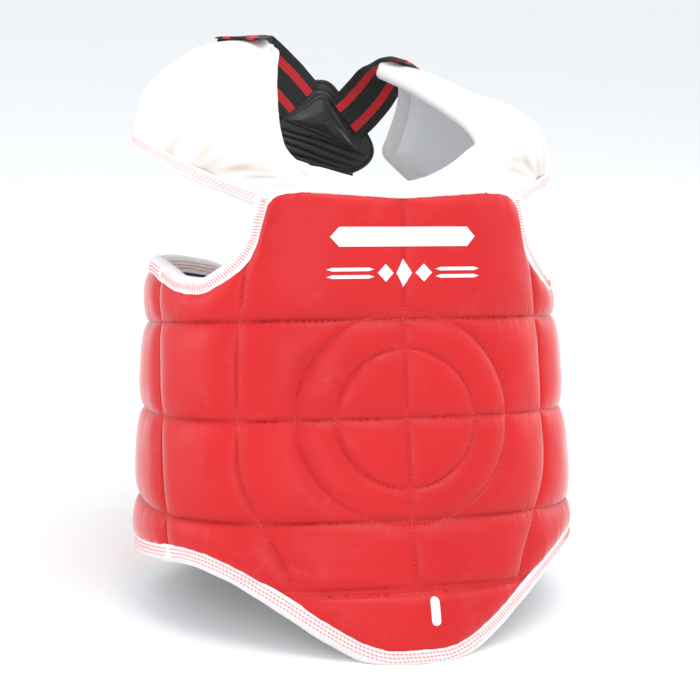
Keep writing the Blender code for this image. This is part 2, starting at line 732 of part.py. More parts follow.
# ---- everything --------------------------------------------------------------------------------
for leftover in list(bpy.data.objects):
    bpy.data.objects.remove(leftover, do_unlink=True)

PIVOTS = make_pivots()
red_vinyl = make_material("red_vinyl", RED, 0.38)
white_vinyl = make_material("white_vinyl", WHITE, 0.5)
white_tape = make_material("white_tape", WHITE, 0.75)
grey_lining = make_material("grey_lining", GREY, 0.8)
black_lining = make_material("black_lining", BLACK, 0.8)
black_vinyl = make_material("black_vinyl", BLACK, 0.42)
elastic = make_material("striped_elastic", BLACK, 0.85)
hook_tape = make_material("hook_tape", BLACK, 0.9)
foam = make_material("foam", FOAM, 0.9)

trunk_materials = {"cover": red_vinyl, "foam": foam, "lining": black_lining, "binding": white_tape}
yoke_materials = {"cover": white_vinyl, "foam": foam, "lining": grey_lining, "binding": white_tape}
make_front(trunk_materials)
make_neck(yoke_materials)
for side_name, sign in SIDES:
    flap_rows = RIGHT_FLAP_ROWS if sign < 0 else LEFT_FLAP_ROWS
    make_wing(side_name, sign, trunk_materials)
    make_loop_patch(side_name, sign, hook_tape)
    make_flap(side_name, sign, flap_rows, yoke_materials)
    make_anchor(side_name, sign, flap_rows, elastic)
    make_upper_strap(side_name, elastic)
    make_lower_strap(side_name, sign, {"strap": elastic, "hook": hook_tape})
make_pad({"vinyl": black_vinyl, "foam": foam})
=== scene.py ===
"""Looks of the padded chest protector: quilted red vinyl, white shoulder flaps and a black back harness.

Shapes are drawn upright in the part's own body frame, with the part's formulas, and then leaned back
onto the floor as the part is. Lengths are metres and angles are degrees round the trunk, 0 in front.
"""

import math

import bpy
import numpy as np
from mathutils import Matrix, Vector

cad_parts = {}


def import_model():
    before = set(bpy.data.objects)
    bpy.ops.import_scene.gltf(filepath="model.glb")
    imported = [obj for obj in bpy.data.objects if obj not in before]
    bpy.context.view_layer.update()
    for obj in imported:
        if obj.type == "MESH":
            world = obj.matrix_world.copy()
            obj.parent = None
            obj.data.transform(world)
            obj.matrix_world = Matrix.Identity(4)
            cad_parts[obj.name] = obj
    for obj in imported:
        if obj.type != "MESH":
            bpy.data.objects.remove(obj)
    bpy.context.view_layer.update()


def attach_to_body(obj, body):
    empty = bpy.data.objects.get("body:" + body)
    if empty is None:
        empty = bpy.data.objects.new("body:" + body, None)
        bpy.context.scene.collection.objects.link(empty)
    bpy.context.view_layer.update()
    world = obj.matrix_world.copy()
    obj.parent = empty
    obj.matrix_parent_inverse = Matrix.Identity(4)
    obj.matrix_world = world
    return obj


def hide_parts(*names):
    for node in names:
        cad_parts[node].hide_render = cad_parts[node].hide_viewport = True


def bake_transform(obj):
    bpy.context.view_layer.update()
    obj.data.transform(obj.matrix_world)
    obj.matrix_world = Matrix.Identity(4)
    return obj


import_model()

# ---- the part's own dimensions -----------------------------------------------------------------
STANCE_LEAN = math.radians(13.0)
STANCE_SHIFT = np.array([0.0, -0.0258, -0.0329])
SIDE_X_AT_ZERO, SIDE_SLOPE, HALF_DEPTH, SQUARENESS, SIDE_Y = 0.177, 0.07, 0.118, 2.33, -0.005
SEAM_ANGLE, ARMHOLE_ANGLE, SIDE_ANGLE, REAR_ANGLE = 32.5, 44.5, 79.0, 152.0
NECK_LOW, NECK_RISE = 0.3440, {"right": 0.0135, "left": 0.0317}
CHEST_LINE, WAIST_LINE, BELLY_LINE, TIP_LINE = 0.250, 0.1775, 0.1033, 0.053
REAR_LINE, INNER_LINE_FOOT, TWIN_OFFSETS = 108.0, 0.0555, (-0.0017, 0.0017)
HEM_TIP, HEM_SIDE, HEM_REAR = 0.0090, 0.0840, 0.0655
PANEL_THICK, PANEL_EDGE_THICK, EDGE_TAPER, REAR_RADIUS = 0.020, 0.011, 0.028, 0.13
BIND_WIDTH, NECK_BIND_WIDTH, FLAP_BIND_WIDTH = 0.011, 0.006, 0.008
FLAP_THICK, FLAP_EDGE_THICK, FLAP_TAPER = 0.013, 0.0075, 0.016
EDGE_GAP, SEAM_REACH = 0.0011, 0.22
STRAP_WIDTH = 0.042
PAD_TOP, PAD_BOTTOM, PAD_HALF_WIDTH, PAD_TOP_HALF_WIDTH, PAD_X = 0.446, 0.366, 0.055, 0.020, 0.0075
SIDES = (("right", -1), ("left", 1))

# ---- looks -------------------------------------------------------------------------------------
PILLOW_RISE = 0.0060  # height of a quilted cell over its stitched grooves
GROOVE_DEPTH = 0.0013  # how far a groove lies under the plain surface
PILLOW_REACH = 0.026  # distance from a stitch line to the flat of a cell
VINYL_THICK, TAPE_THICK, ELASTIC_THICK = 0.0011, 0.0009, 0.0018
TAPE_LIP = 0.0022  # how far a tape laps over the panel that it binds
STITCH, STITCH_GAP, THREAD = 0.0030, 0.0009, 0.00032
TARGET_HEIGHT, TARGET_RADII, TARGET_STRETCH = 0.177, (0.0785, 0.0512), 1.06
FLAP_LAP = 0.0026  # how far a flap's foot hangs over the front's top edge


# ---- small maths -------------------------------------------------------------------------------
def smooth_step(value, low, high):
    t = np.clip((np.asarray(value, float) - low) / (high - low), 0.0, 1.0)
    return t * t * (3 - 2 * t)


def mix(a, b, t):
    return np.asarray(a) * (1 - t) + np.asarray(b) * t


def unit(vectors):
    return vectors / np.maximum(np.linalg.norm(vectors, axis=-1, keepdims=True), 1e-12)


def ripple(position, lengths, seed):
    """Uneven waves from -1 to 1 along a position, from a few wavelengths."""
    total = 0.0
    for k, length in enumerate(lengths):
        total = total + np.sin(2 * np.pi * (position / length + seed * (0.37 + 0.29 * k)))
    return total / len(lengths)


def spline(points, t):
    """Catmull-Rom curve through the points, for an array of t from 0 to 1."""
    points = np.asarray(points, float)
    last = len(points) - 1
    padded = np.vstack([2 * points[:1] - points[1:2], points, 2 * points[-1:] - points[-2:-1]])
    t = np.asarray(t, float)
    i = np.clip((t * last).astype(int), 0, last - 1)
    s = (t * last - i)[..., None]
    before, a, b, after = (padded[i + k] for k in range(4))
    ahead, back = (b - before) / 2, (after - a) / 2
    return (
        a * (2 * s**3 - 3 * s**2 + 1) + b * (3 * s**2 - 2 * s**3)
        + ahead * (s**3 - 2 * s**2 + s) + back * (s**3 - s**2)
    )


def outline(knots):
    """A function of angle: a smooth height through (angle, height) knots that never overshoots."""
    angles, heights = np.array(knots, float).T
    steps = np.diff(heights) / np.diff(angles)
    slopes = np.zeros(len(angles))
    same = steps[:-1] * steps[1:] > 0
    below, above = steps[:-1][same], steps[1:][same]
    slopes[1:-1][same] = 2 * below * above / (below + above)

    def height(angle):
        angle = np.clip(np.abs(angle), angles[0], angles[-1])
        i = np.clip(np.searchsorted(angles, angle) - 1, 0, len(angles) - 2)
        span = angles[i + 1] - angles[i]
        s = (angle - angles[i]) / span
        return (
            heights[i] * (2 * s**3 - 3 * s**2 + 1) + heights[i + 1] * (3 * s**2 - 2 * s**3)
            + slopes[i] * span * (s**3 - 2 * s**2 + s) + slopes[i + 1] * span * (s**3 - s**2)
        )

    return height


# ---- the trunk's surface -----------------------------------------------------------------------
def trunk_base(angle, z):
    angle, z = np.broadcast_arrays(np.asarray(angle, float), np.asarray(z, float))
    half_width = SIDE_X_AT_ZERO - SIDE_SLOPE * z
    s, c = np.sin(np.radians(angle)), np.cos(np.radians(angle))
    radius = np.abs(s / half_width) ** SQUARENESS + np.abs(c / HALF_DEPTH) ** SQUARENESS
    radius = radius ** (-1 / SQUARENESS)
    to_side = np.minimum(np.abs(angle) / 90, 1.0)
    front_y = -0.1178 + 0.065 * (z - 0.2) - 0.35 * (z - 0.2) ** 2
    centre_y = (front_y + HALF_DEPTH) * (1 - to_side) + SIDE_Y * to_side
    return np.stack([radius * s, centre_y - radius * c, z], -1)


def trunk_normal(angle, z):
    across = trunk_base(angle + 0.5, z) - trunk_base(angle - 0.5, z)
    up = trunk_base(angle, z + 0.001) - trunk_base(angle, z - 0.001)
    return unit(np.cross(across, up))


def trunk_point(angle, z, out=0.0):
    return trunk_base(angle, z) + trunk_normal(angle, z) * np.asarray(out)[..., None]


def metres_per_degree(angle, z):
    return np.linalg.norm(trunk_base(angle + 0.5, z) - trunk_base(angle - 0.5, z), axis=-1)


top_edge = outline((
    (0, 0.3400), (20, 0.3420), (34, 0.3438), (40, 0.3430), (ARMHOLE_ANGLE, 0.3370), (46.4, 0.3230),
    (48.2, 0.3070), (52, 0.2925), (58, 0.2800), (66, 0.2715), (74, 0.2735), (84, 0.2820), (96, 0.2885),
    (120, 0.2910), (140, 0.2860), (REAR_ANGLE, 0.2740),
))


def hem_edge(angle):
    angle = np.abs(angle)
    side = HEM_TIP + (HEM_SIDE - HEM_TIP) * smooth_step(angle, 8, 72)
    return side + (HEM_REAR - HEM_SIDE) * smooth_step(angle, 100, REAR_ANGLE - 4)


def neck_edge(angle):
    """Top of the neck band, which climbs higher towards the wearer's left."""
    rise = np.where(np.asarray(angle) > 0, NECK_RISE["left"], NECK_RISE["right"])
    return NECK_LOW + rise * np.abs(np.asarray(angle) / SEAM_ANGLE) ** 1.9


def fold_angle(z):
    """The outer vertical stitch line, where a wing folds."""
    return 74.3 + (z - 0.0730) * 52.0


def inner_stitch_angle(z):
    return 54.0 - 15.0 * smooth_step(0.150 - z, 0.0, 0.110) - 2.5 * smooth_step(z, 0.22, 0.30)


def stitch_height(line, angle):
    rise = {BELLY_LINE: 0.0104, WAIST_LINE: 0.005}.get(line, 0.0)
    return line + rise * np.clip((np.abs(angle) - 45) / 45, 0.0, 1.2) ** 2


def edge_distance(angle, z):
    """How far a point lies inside the trunk's top, hem and rear edges."""
    to_rear = np.radians(REAR_ANGLE - np.abs(angle)) * REAR_RADIUS
    return np.minimum(np.minimum(top_edge(angle) - z, z - hem_edge(angle)), to_rear)


def panel_thickness(angle, z):
    full = smooth_step(edge_distance(angle, z), 0.0, EDGE_TAPER)
    return PANEL_EDGE_THICK + (PANEL_THICK - PANEL_EDGE_THICK) * full


# ---- the quilting ------------------------------------------------------------------------------
def cell_profile(distance, reach):
    """0 on a stitch line, rising steeply and then flattening to 1 a reach away."""
    soft = np.sqrt(distance**2 + 0.0007**2) - 0.0007
    return np.sqrt(1 - (1 - np.minimum(soft / reach, 1.0)) ** 2)


def quilt_lines(angle, z):
    """(signed distance, place along the line, reach, weight) of each stitch line."""
    degree = metres_per_degree(angle, z)
    lines = []
    for k, (line, weight) in enumerate(((CHEST_LINE, 1.0), (WAIST_LINE, 0.95), (BELLY_LINE, 1.0))):
        lines.append((z - stitch_height(line, angle), angle * degree + k, PILLOW_REACH, weight))
    for offset in TWIN_OFFSETS:
        lines.append((z - stitch_height(TIP_LINE, angle) - offset, angle * degree, 0.010, 0.70))
    low = z < TIP_LINE
    below = np.where(low, TIP_LINE - z, 0.0)
    lines.append((np.hypot(angle * degree, below), z, PILLOW_REACH, 0.70))
    inner_end = np.where(z < INNER_LINE_FOOT, INNER_LINE_FOOT - z, 0.0)
    from_inner = (np.abs(angle) - inner_stitch_angle(z)) * degree
    lines.append((np.hypot(from_inner, inner_end), z + 2, PILLOW_REACH, 0.78))
    lines.append(((np.abs(angle) - fold_angle(z)) * degree, z + 3, 0.016, 0.80))
    lines.append(((np.abs(angle) - REAR_LINE) * degree, z + 4, PILLOW_REACH, 0.6))
    base = trunk_base(angle, z)
    ring = np.hypot(base[..., 0] / TARGET_STRETCH, z - TARGET_HEIGHT)
    turn = np.arctan2(base[..., 0], z - TARGET_HEIGHT)
    front = np.abs(angle) < 60
    for radius in TARGET_RADII:
        lines.append((np.where(front, ring - radius, 1.0), turn * radius, 0.013, 0.70))
    return lines


def quilt(angle, z):
    """Rise of the stitched cover over the plain surface, and a mask of painted shade along its stitched grooves."""
    full, painted_shade, pucker = 1.0, 0.0, 0.0
    for k, (distance, along, reach, weight) in enumerate(quilt_lines(angle, z)):
        profile = cell_profile(distance, reach)
        full = full * (1 - weight * (1 - profile))
        near = np.abs(distance)
        # painted shade, darkest on each stitch line and strongest on the main rows
        painted_shade = np.maximum(painted_shade, weight**4 * np.exp(-near / 0.0015))
        wrinkle = ripple(along, (0.0078, 0.0127, 0.0191), k + 1.0) * np.exp(-near / 0.0075)
        needle = ripple(along, (STITCH + STITCH_GAP,), 0.0) * np.exp(-near / 0.0026)
        needle = needle * smooth_step(near, 0.0002, 0.0016)
        pucker = pucker + weight * smooth_step(near, 0, 0.004) * wrinkle * 0.00026 + needle * 0.00018
    edge = np.maximum(edge_distance(angle, z), 0)
    full = full * (0.12 + 0.88 * cell_profile(edge, 0.018))
    bound = np.exp(-edge / 0.010)
    gather = ripple(angle * metres_per_degree(angle, z), (0.0113, 0.0190, 0.0310), 4.0) * bound * 0.0003
    sway = ripple(angle, (17.0, 29.0), 0.3) * ripple(z, (0.061, 0.097), 0.7) * 0.0006
    rise = PILLOW_RISE * full - GROOVE_DEPTH + pucker + gather + sway * full
    flat = patch_mask(angle, z)
    return mix(rise, 0.0016, flat), np.clip(painted_shade, 0, 1) * (1 - flat)


PATCH_ANGLES, PATCH_HEIGHTS, PATCH_LIFT = (117.0, 143.0), (0.176, 0.246), 0.0028
LOOP_SUNK, LOOP_THICK = 0.0009, 0.0021
HOOK_ANGLES, HOOK_HEIGHTS, HOOK_THICK = (120.0, 140.0), (0.182, 0.244), 0.0025


def patch_mask(angle, z):
    """1 where the hook-and-loop patch presses the padding flat, 0 away from it."""
    angle = np.abs(angle)
    wide = smooth_step(angle, PATCH_ANGLES[0] - 5, PATCH_ANGLES[0] - 1)
    wide = wide * (1 - smooth_step(angle, PATCH_ANGLES[1] + 1, PATCH_ANGLES[1] + 5))
    tall = smooth_step(z, PATCH_HEIGHTS[0] - 0.009, PATCH_HEIGHTS[0] - 0.001)
    return wide * tall * (1 - smooth_step(z, PATCH_HEIGHTS[1] + 0.001, PATCH_HEIGHTS[1] + 0.009))


def lining_depth(angle, z):
    """Depth of the inner face, with the same stitch lines drawn into the padding."""
    full = 1.0
    for distance, _, reach, weight in quilt_lines(angle, z):
        full = full * (1 - weight * (1 - cell_profile(distance, reach)))
    return panel_thickness(angle, z) - 0.0024 * (1 - full)


# ---- mesh builders -----------------------------------------------------------------------------
def to_world(points):
    """Leans body-frame points back onto the floor, and presses flat what would go under it."""
    points = np.asarray(points, float)
    c, s = math.cos(STANCE_LEAN), math.sin(STANCE_LEAN)
    x, y, z = points[..., 0], points[..., 1], points[..., 2]
    placed = np.stack([x, y * c + z * s, -y * s + z * c], -1) + STANCE_SHIFT
    placed[..., 2] = np.maximum(placed[..., 2], 0.0)
    return placed


def make_mesh(name, points, faces, material, uv=None, painted_shade=None, sharp=55):
    """A mesh object from world points and arrays of faces with equal corner counts."""
    mesh = bpy.data.meshes.new(name)
    faces = [np.asarray(f, np.int32) for f in faces if len(f)]
    corners = np.concatenate([f.ravel() for f in faces])
    totals = np.concatenate([np.full(len(f), f.shape[1], np.int32) for f in faces])
    mesh.vertices.add(len(points))
    mesh.vertices.foreach_set("co", np.asarray(points, np.float32).ravel())
    mesh.loops.add(len(corners))
    mesh.loops.foreach_set("vertex_index", corners)
    mesh.polygons.add(len(totals))
    mesh.polygons.foreach_set("loop_start", np.concatenate([[0], np.cumsum(totals)[:-1]]).astype(np.int32))
    mesh.update(calc_edges=True)
    mesh.validate()
    if uv is not None:
        layer = mesh.uv_layers.new(name="UVMap")
        layer.data.foreach_set("uv", np.asarray(uv, np.float32)[corners].ravel())
    # per-point mask of painted shade, which darkens the vinyl materials' colour
    if painted_shade is not None:
        attribute = mesh.attributes.new("painted_shade", "FLOAT", "POINT")
        attribute.data.foreach_set("value", np.asarray(painted_shade, np.float32))
    mesh.materials.append(material)
    mesh.shade_smooth()
    mesh.set_sharp_from_angle(angle=math.radians(sharp))
    piece = bpy.data.objects.new(name, mesh)
    bpy.context.scene.collection.objects.link(piece)
    return piece


def grid_faces(columns, rows, start=0, flip=False):
    index = start + np.arange(columns * rows).reshape(columns, rows)
    quads = np.stack([index[:-1, :-1], index[1:, :-1], index[1:, 1:], index[:-1, 1:]], -1).reshape(-1, 4)
    return quads[:, ::-1] if flip else quads


def shell(name, outer, inner, material, flip=False, painted_shade=None, uv=None):
    """A closed sheet between two grids of body-frame points, [column, row]."""
    columns, rows = outer.shape[:2]
    count = columns * rows
    index = np.arange(count).reshape(columns, rows)
    rim = np.concatenate([index[:, 0], index[-1, 1:], index[-2::-1, -1], index[0, -2:0:-1]])
    following = np.roll(rim, -1)
    wall = np.stack([rim, rim + count, following + count, following], -1)
    faces = np.vstack([grid_faces(columns, rows), grid_faces(columns, rows, count, flip=True), wall])
    if flip:
        faces = faces[:, ::-1]
    points = to_world(np.vstack([outer.reshape(-1, 3), inner.reshape(-1, 3)]))
    both = None if painted_shade is None else np.concatenate([painted_shade.ravel(), np.zeros(count)])
    maps = None if uv is None else np.vstack([uv.reshape(-1, 2)] * 2)
    return make_mesh(name, points, [faces], material, uv=maps, painted_shade=both)


def tubes(name, rings, material, uv=None, closed=False, ends=True):
    """Closed bars through rings of body-frame points, [bar, section, corner]."""
    bars, sections, corners = rings.shape[:3]
    index = np.arange(bars * sections * corners).reshape(bars, sections, corners)
    if closed:
        index = np.concatenate([index, index[:, :1]], 1)
    around = np.roll(index, -1, axis=2)
    sides = np.stack([index[:, :-1], around[:, :-1], around[:, 1:], index[:, 1:]], -1).reshape(-1, 4)
    faces = [sides]
    if not closed and ends:
        faces.append(np.concatenate([index[:, 0, ::-1], index[:, -1]]))
    maps = None if uv is None else uv.reshape(-1, 2)
    return make_mesh(name, to_world(rings.reshape(-1, 3)), faces, material, uv=maps)


def lengths_along(points):
    steps = np.linalg.norm(np.diff(points, axis=0), axis=1)
    return np.concatenate([[0], np.cumsum(steps)])


def at_places(places, length, vectors):
    """Vectors given at each length of a path, read off at other places along it."""
    return np.stack([np.interp(places, length, values) for values in vectors.T], -1)


def resample(points, normals, spacing):
    """The same path with points an even spacing apart."""
    length = lengths_along(points)
    places = np.linspace(0, length[-1], max(int(length[-1] / spacing), 2) + 1)
    return at_places(places, length, points), unit(at_places(places, length, normals)), places


def averaged(points, window):
    """Each point as the mean of those up to a window away from it."""
    return np.array([points[max(i - window, 0):i + window + 1].mean(0) for i in range(len(points))])


def averaged_inside(points, window):
    """The same, with the first and last points left where they are."""
    smooth = averaged(points, window)
    smooth[:window], smooth[-window:] = points[:window], points[-window:]
    return smooth


def thread_rings(path, up, side, radii):
    """Six-cornered rings round each thread, [thread, section, corner]."""
    turn = np.linspace(0, 2 * np.pi, 7)[:-1]
    around = np.cos(turn)[:, None] * up[:, :, None] + np.sin(turn)[:, None] * side[:, :, None]
    return path[:, :, None] + around * radii[:, None, None]


def stitch_rings(points, normals, length=STITCH, gap=STITCH_GAP, thread=THREAD, arch=0.0002):
    """Rings of the separate raised stitches along one path."""
    total = lengths_along(points)
    pitch = length + gap
    count = int(total[-1] / pitch)
    starts = (total[-1] - count * pitch + gap) / 2 + np.arange(count) * pitch
    shares = np.array([0.0, 0.06, 0.28, 0.5, 0.72, 0.94, 1.0])
    places = starts[:, None] + shares * length
    at, facing = at_places(places, total, points), unit(at_places(places, total, normals))
    along = unit(np.gradient(at, axis=1))
    side = unit(np.cross(along, facing))
    lift = np.sin(np.pi * shares) * arch
    thick = thread * np.array([0.35, 0.8, 1.0, 1.0, 1.0, 0.8, 0.35])
    return thread_rings(at + facing * lift[:, None], facing, side, thick)


# ---- materials ---------------------------------------------------------------------------------
class Paint:
    """A Principled material built node by node."""

    def __init__(self, name, roughness, **sockets):
        self.material = bpy.data.materials.new(name)
        self.material.use_nodes = True
        self.tree = self.material.node_tree
        self.shader = self.tree.nodes["Principled BSDF"]
        self.shader.inputs["Roughness"].default_value = roughness
        for key, value in sockets.items():
            self.shader.inputs[key.replace("_", " ")].default_value = value
        self.place = self.node("ShaderNodeTexCoord").outputs["Object"]
        self.height = None

    def node(self, kind, **settings):
        made = self.tree.nodes.new(kind)
        for key, value in settings.items():
            setattr(made, key, value)
        return made

    def feed(self, socket, value):
        if isinstance(value, bpy.types.NodeSocket):
            self.tree.links.new(value, socket)
        else:
            socket.default_value = value

    def maths(self, operation, a, b=0.0):
        made = self.node("ShaderNodeMath", operation=operation)
        self.feed(made.inputs[0], a)
        self.feed(made.inputs[1], b)
        return made.outputs[0]

    def noise(self, scale, detail=3.0, vector=None, roughness=0.5):
        made = self.node("ShaderNodeTexNoise")
        self.feed(made.inputs["Vector"], vector or self.place)
        made.inputs["Scale"].default_value = scale
        made.inputs["Detail"].default_value = detail
        made.inputs["Roughness"].default_value = roughness
        return made.outputs["Fac"]

    def cells(self, scale, feature="F1", vector=None):
        made = self.node("ShaderNodeTexVoronoi", feature=feature)
        self.feed(made.inputs["Vector"], vector or self.place)
        made.inputs["Scale"].default_value = scale
        return made.outputs["Distance"]

    def between(self, value, low, high):
        """value mapped from low..high onto 0..1."""
        made = self.node("ShaderNodeMapRange")
        self.feed(made.inputs["Value"], value)
        made.inputs["From Min"].default_value = low
        made.inputs["From Max"].default_value = high
        return made.outputs["Result"]

    def blend(self, share, a, b, kind="MIX"):
        made = self.node("ShaderNodeMix", data_type="RGBA", blend_type=kind)
        self.feed(made.inputs["Factor"], share)
        first, second = (s for s in made.inputs if s.name in "AB" and s.type == "RGBA")
        for socket, value in ((first, a), (second, b)):
            self.feed(socket, value if isinstance(value, bpy.types.NodeSocket) else (*value, 1.0))
        return next(s for s in made.outputs if s.type == "RGBA")

    def color(self, value):
        self.feed(self.shader.inputs["Base Color"], value)

    def rough(self, value, low, high):
        made = self.node("ShaderNodeMapRange")
        self.feed(made.inputs["Value"], value)
        made.inputs["To Min"].default_value = low
        made.inputs["To Max"].default_value = high
        self.feed(self.shader.inputs["Roughness"], made.outputs["Result"])

    def bump(self, height, strength, distance):
        made = self.node("ShaderNodeBump")
        made.inputs["Strength"].default_value = strength
        made.inputs["Distance"].default_value = distance
        self.feed(made.inputs["Height"], height)
        if self.height is not None:
            self.feed(made.inputs["Normal"], self.height)
        self.height = made.outputs["Normal"]
        self.feed(self.shader.inputs["Normal"], self.height)

    def painted_shade(self):
        return self.node("ShaderNodeAttribute", attribute_name="painted_shade").outputs["Fac"]

    def cloth_axes(self):
        """The piece's own u and v, in metres along and across it."""
        split = self.node("ShaderNodeSeparateXYZ")
        self.feed(split.inputs[0], self.node("ShaderNodeUVMap", uv_map="UVMap").outputs["UV"])
        return split.outputs["X"], split.outputs["Y"]


def half_wave(paint, axis, pitch):
    turned = paint.maths("MULTIPLY", axis, 2 * math.pi / pitch)
    return paint.between(paint.maths("SINE", turned), -1.0, 1.0)


def vinyl(name, color, shade, tint, roughness, grain=0.35, specular=0.5, haze=0.0):
    """Coated cloth: a fine pebble grain, cloudy colour and painted shade in the stitched grooves and creases."""
    paint = Paint(name, roughness, IOR=1.5, Specular_IOR_Level=specular, Sheen_Weight=haze,
                  Sheen_Roughness=0.30)
    cloud = paint.between(paint.noise(9.0, 4.0), 0.35, 0.65)
    worn = paint.between(paint.noise(38.0, 5.0, roughness=0.65), 0.58, 0.80)
    base = paint.blend(cloud, color, tint)
    # painted shade: the colour turns towards the shade colour in the stitched grooves and creases
    base = paint.blend(paint.maths("MULTIPLY", paint.painted_shade(), 0.75), base, shade)
    base = paint.blend(paint.maths("MULTIPLY", worn, 0.10), base, tuple(min(1.0, c + 0.22) for c in color))
    paint.color(base)
    paint.rough(paint.noise(55.0, 4.0), roughness - 0.07, roughness + 0.09)
    paint.bump(paint.noise(120.0, 3.0), 0.10, 0.0006)
    paint.bump(paint.cells(950.0), grain, 0.00012)
    paint.bump(paint.noise(2400.0, 2.0), grain * 0.5, 0.00006)
    return paint.material


def tape(name, color, shade):
    """Folded cotton tape, ribbed across its length."""
    paint = Paint(name, 0.78, Sheen_Weight=0.25, Sheen_Roughness=0.5)
    along, across = paint.cloth_axes()
    rib = half_wave(paint, along, 0.00085)
    yarn = half_wave(paint, across, 0.0011)
    weave = paint.maths("MULTIPLY", rib, paint.between(yarn, -0.6, 1.0))
    dust = paint.between(paint.noise(60.0, 4.0), 0.4, 0.75)
    base = paint.blend(paint.between(weave, 0.0, 0.7), shade, color)
    paint.color(paint.blend(paint.maths("MULTIPLY", dust, 0.35), base, shade))
    paint.bump(weave, 0.55, 0.00022)
    paint.bump(paint.noise(900.0, 3.0), 0.25, 0.0001)
    return paint.material


def elastic(name, black, red):
    """Woven elastic: long fine ribs, crossed by the weft, with two red stripes."""
    paint = Paint(name, 0.82, Sheen_Weight=0.15, Sheen_Roughness=0.4)
    along, across = paint.cloth_axes()
    share = paint.maths("DIVIDE", across, STRAP_WIDTH)
    ramp = paint.node("ShaderNodeValToRGB")
    ramp.color_ramp.interpolation = "CONSTANT"
    stops = ((0.0, black), (0.165, red), (0.325, black), (0.655, red), (0.815, black))
    ramp.color_ramp.elements[0].color = (*black, 1.0)
    ramp.color_ramp.elements[1].position = stops[-1][0]
    ramp.color_ramp.elements[1].color = (*black, 1.0)
    for position, color in stops[1:-1]:
        ramp.color_ramp.elements.new(position).color = (*color, 1.0)
    paint.feed(ramp.inputs["Fac"], share)
    rib = half_wave(paint, across, 0.0013)
    weft = half_wave(paint, along, 0.0010)
    lint = paint.between(paint.noise(700.0, 4.0), 0.45, 0.85)
    furrow = paint.maths("MULTIPLY", paint.maths("SUBTRACT", 1.0, rib), 0.45)
    base = paint.blend(furrow, ramp.outputs["Color"], tuple(c * 0.25 for c in black))
    paint.color(paint.blend(paint.maths("MULTIPLY", lint, 0.10), base, (0.25, 0.25, 0.26)))
    paint.bump(paint.maths("MULTIPLY", rib, paint.between(weft, -0.8, 1.0)), 0.7, 0.00035)
    paint.bump(paint.noise(1500.0, 2.0), 0.3, 0.0001)
    return paint.material


def cloth(name, color, shade, pitch, roughness=0.85, sheen=0.3):
    """Plain woven lining cloth."""
    paint = Paint(name, roughness, Sheen_Weight=sheen, Sheen_Roughness=0.45)
    split = paint.node("ShaderNodeSeparateXYZ")
    paint.feed(split.inputs[0], paint.place)
    warp = half_wave(paint, paint.maths("ADD", split.outputs["X"], split.outputs["Y"]), pitch)
    weft = half_wave(paint, split.outputs["Z"], pitch)
    weave = paint.maths("MAXIMUM", paint.maths("MULTIPLY", warp, weft),
                        paint.maths("MULTIPLY", paint.maths("SUBTRACT", 1.0, warp),
                                    paint.maths("SUBTRACT", 1.0, weft)))
    cloud = paint.between(paint.noise(22.0, 4.0), 0.35, 0.7)
    base = paint.blend(weave, shade, color)
    paint.color(paint.blend(paint.maths("MULTIPLY", cloud, 0.25), base, shade))
    paint.bump(weave, 0.5, pitch * 0.3)
    paint.bump(paint.noise(160.0, 3.0), 0.12, 0.0006)
    return paint.material


def fuzz(name, color, tip, scale):
    """Hook or loop tape: dense short pile."""
    paint = Paint(name, 0.95, Sheen_Weight=0.5, Sheen_Roughness=0.6)
    pile = paint.cells(scale)
    paint.color(paint.blend(paint.between(pile, 0.1, 0.6), tip, color))
    paint.bump(pile, 0.9, 0.0006)
    paint.bump(paint.noise(scale * 3, 3.0), 0.5, 0.0003)
    return paint.material


def foam_material(name, color):
    """Closed-cell foam with open pores on its cut faces."""
    paint = Paint(name, 0.9)
    pores = paint.cells(700.0)
    paint.color(paint.blend(paint.between(pores, 0.0, 0.5), tuple(c * 0.7 for c in color), color))
    paint.bump(pores, 0.6, 0.0005)
    return paint.material


def thread_material(name, color, shade):
    """Twisted sewing thread."""
    paint = Paint(name, 0.6, Sheen_Weight=0.3)
    strand = paint.noise(2600.0, 2.0)
    paint.color(paint.blend(paint.between(strand, 0.35, 0.65), shade, color))
    paint.bump(strand, 0.5, 0.0001)
    return paint.material


def print_material(name, color, shade):
    """Thick screen print on vinyl, a little worn."""
    paint = Paint(name, 0.5)
    worn = paint.between(paint.noise(260.0, 4.0), 0.50, 0.78)
    paint.color(paint.blend(worn, color, shade))
    paint.bump(paint.noise(900.0, 3.0), 0.25, 0.0001)
    return paint.material


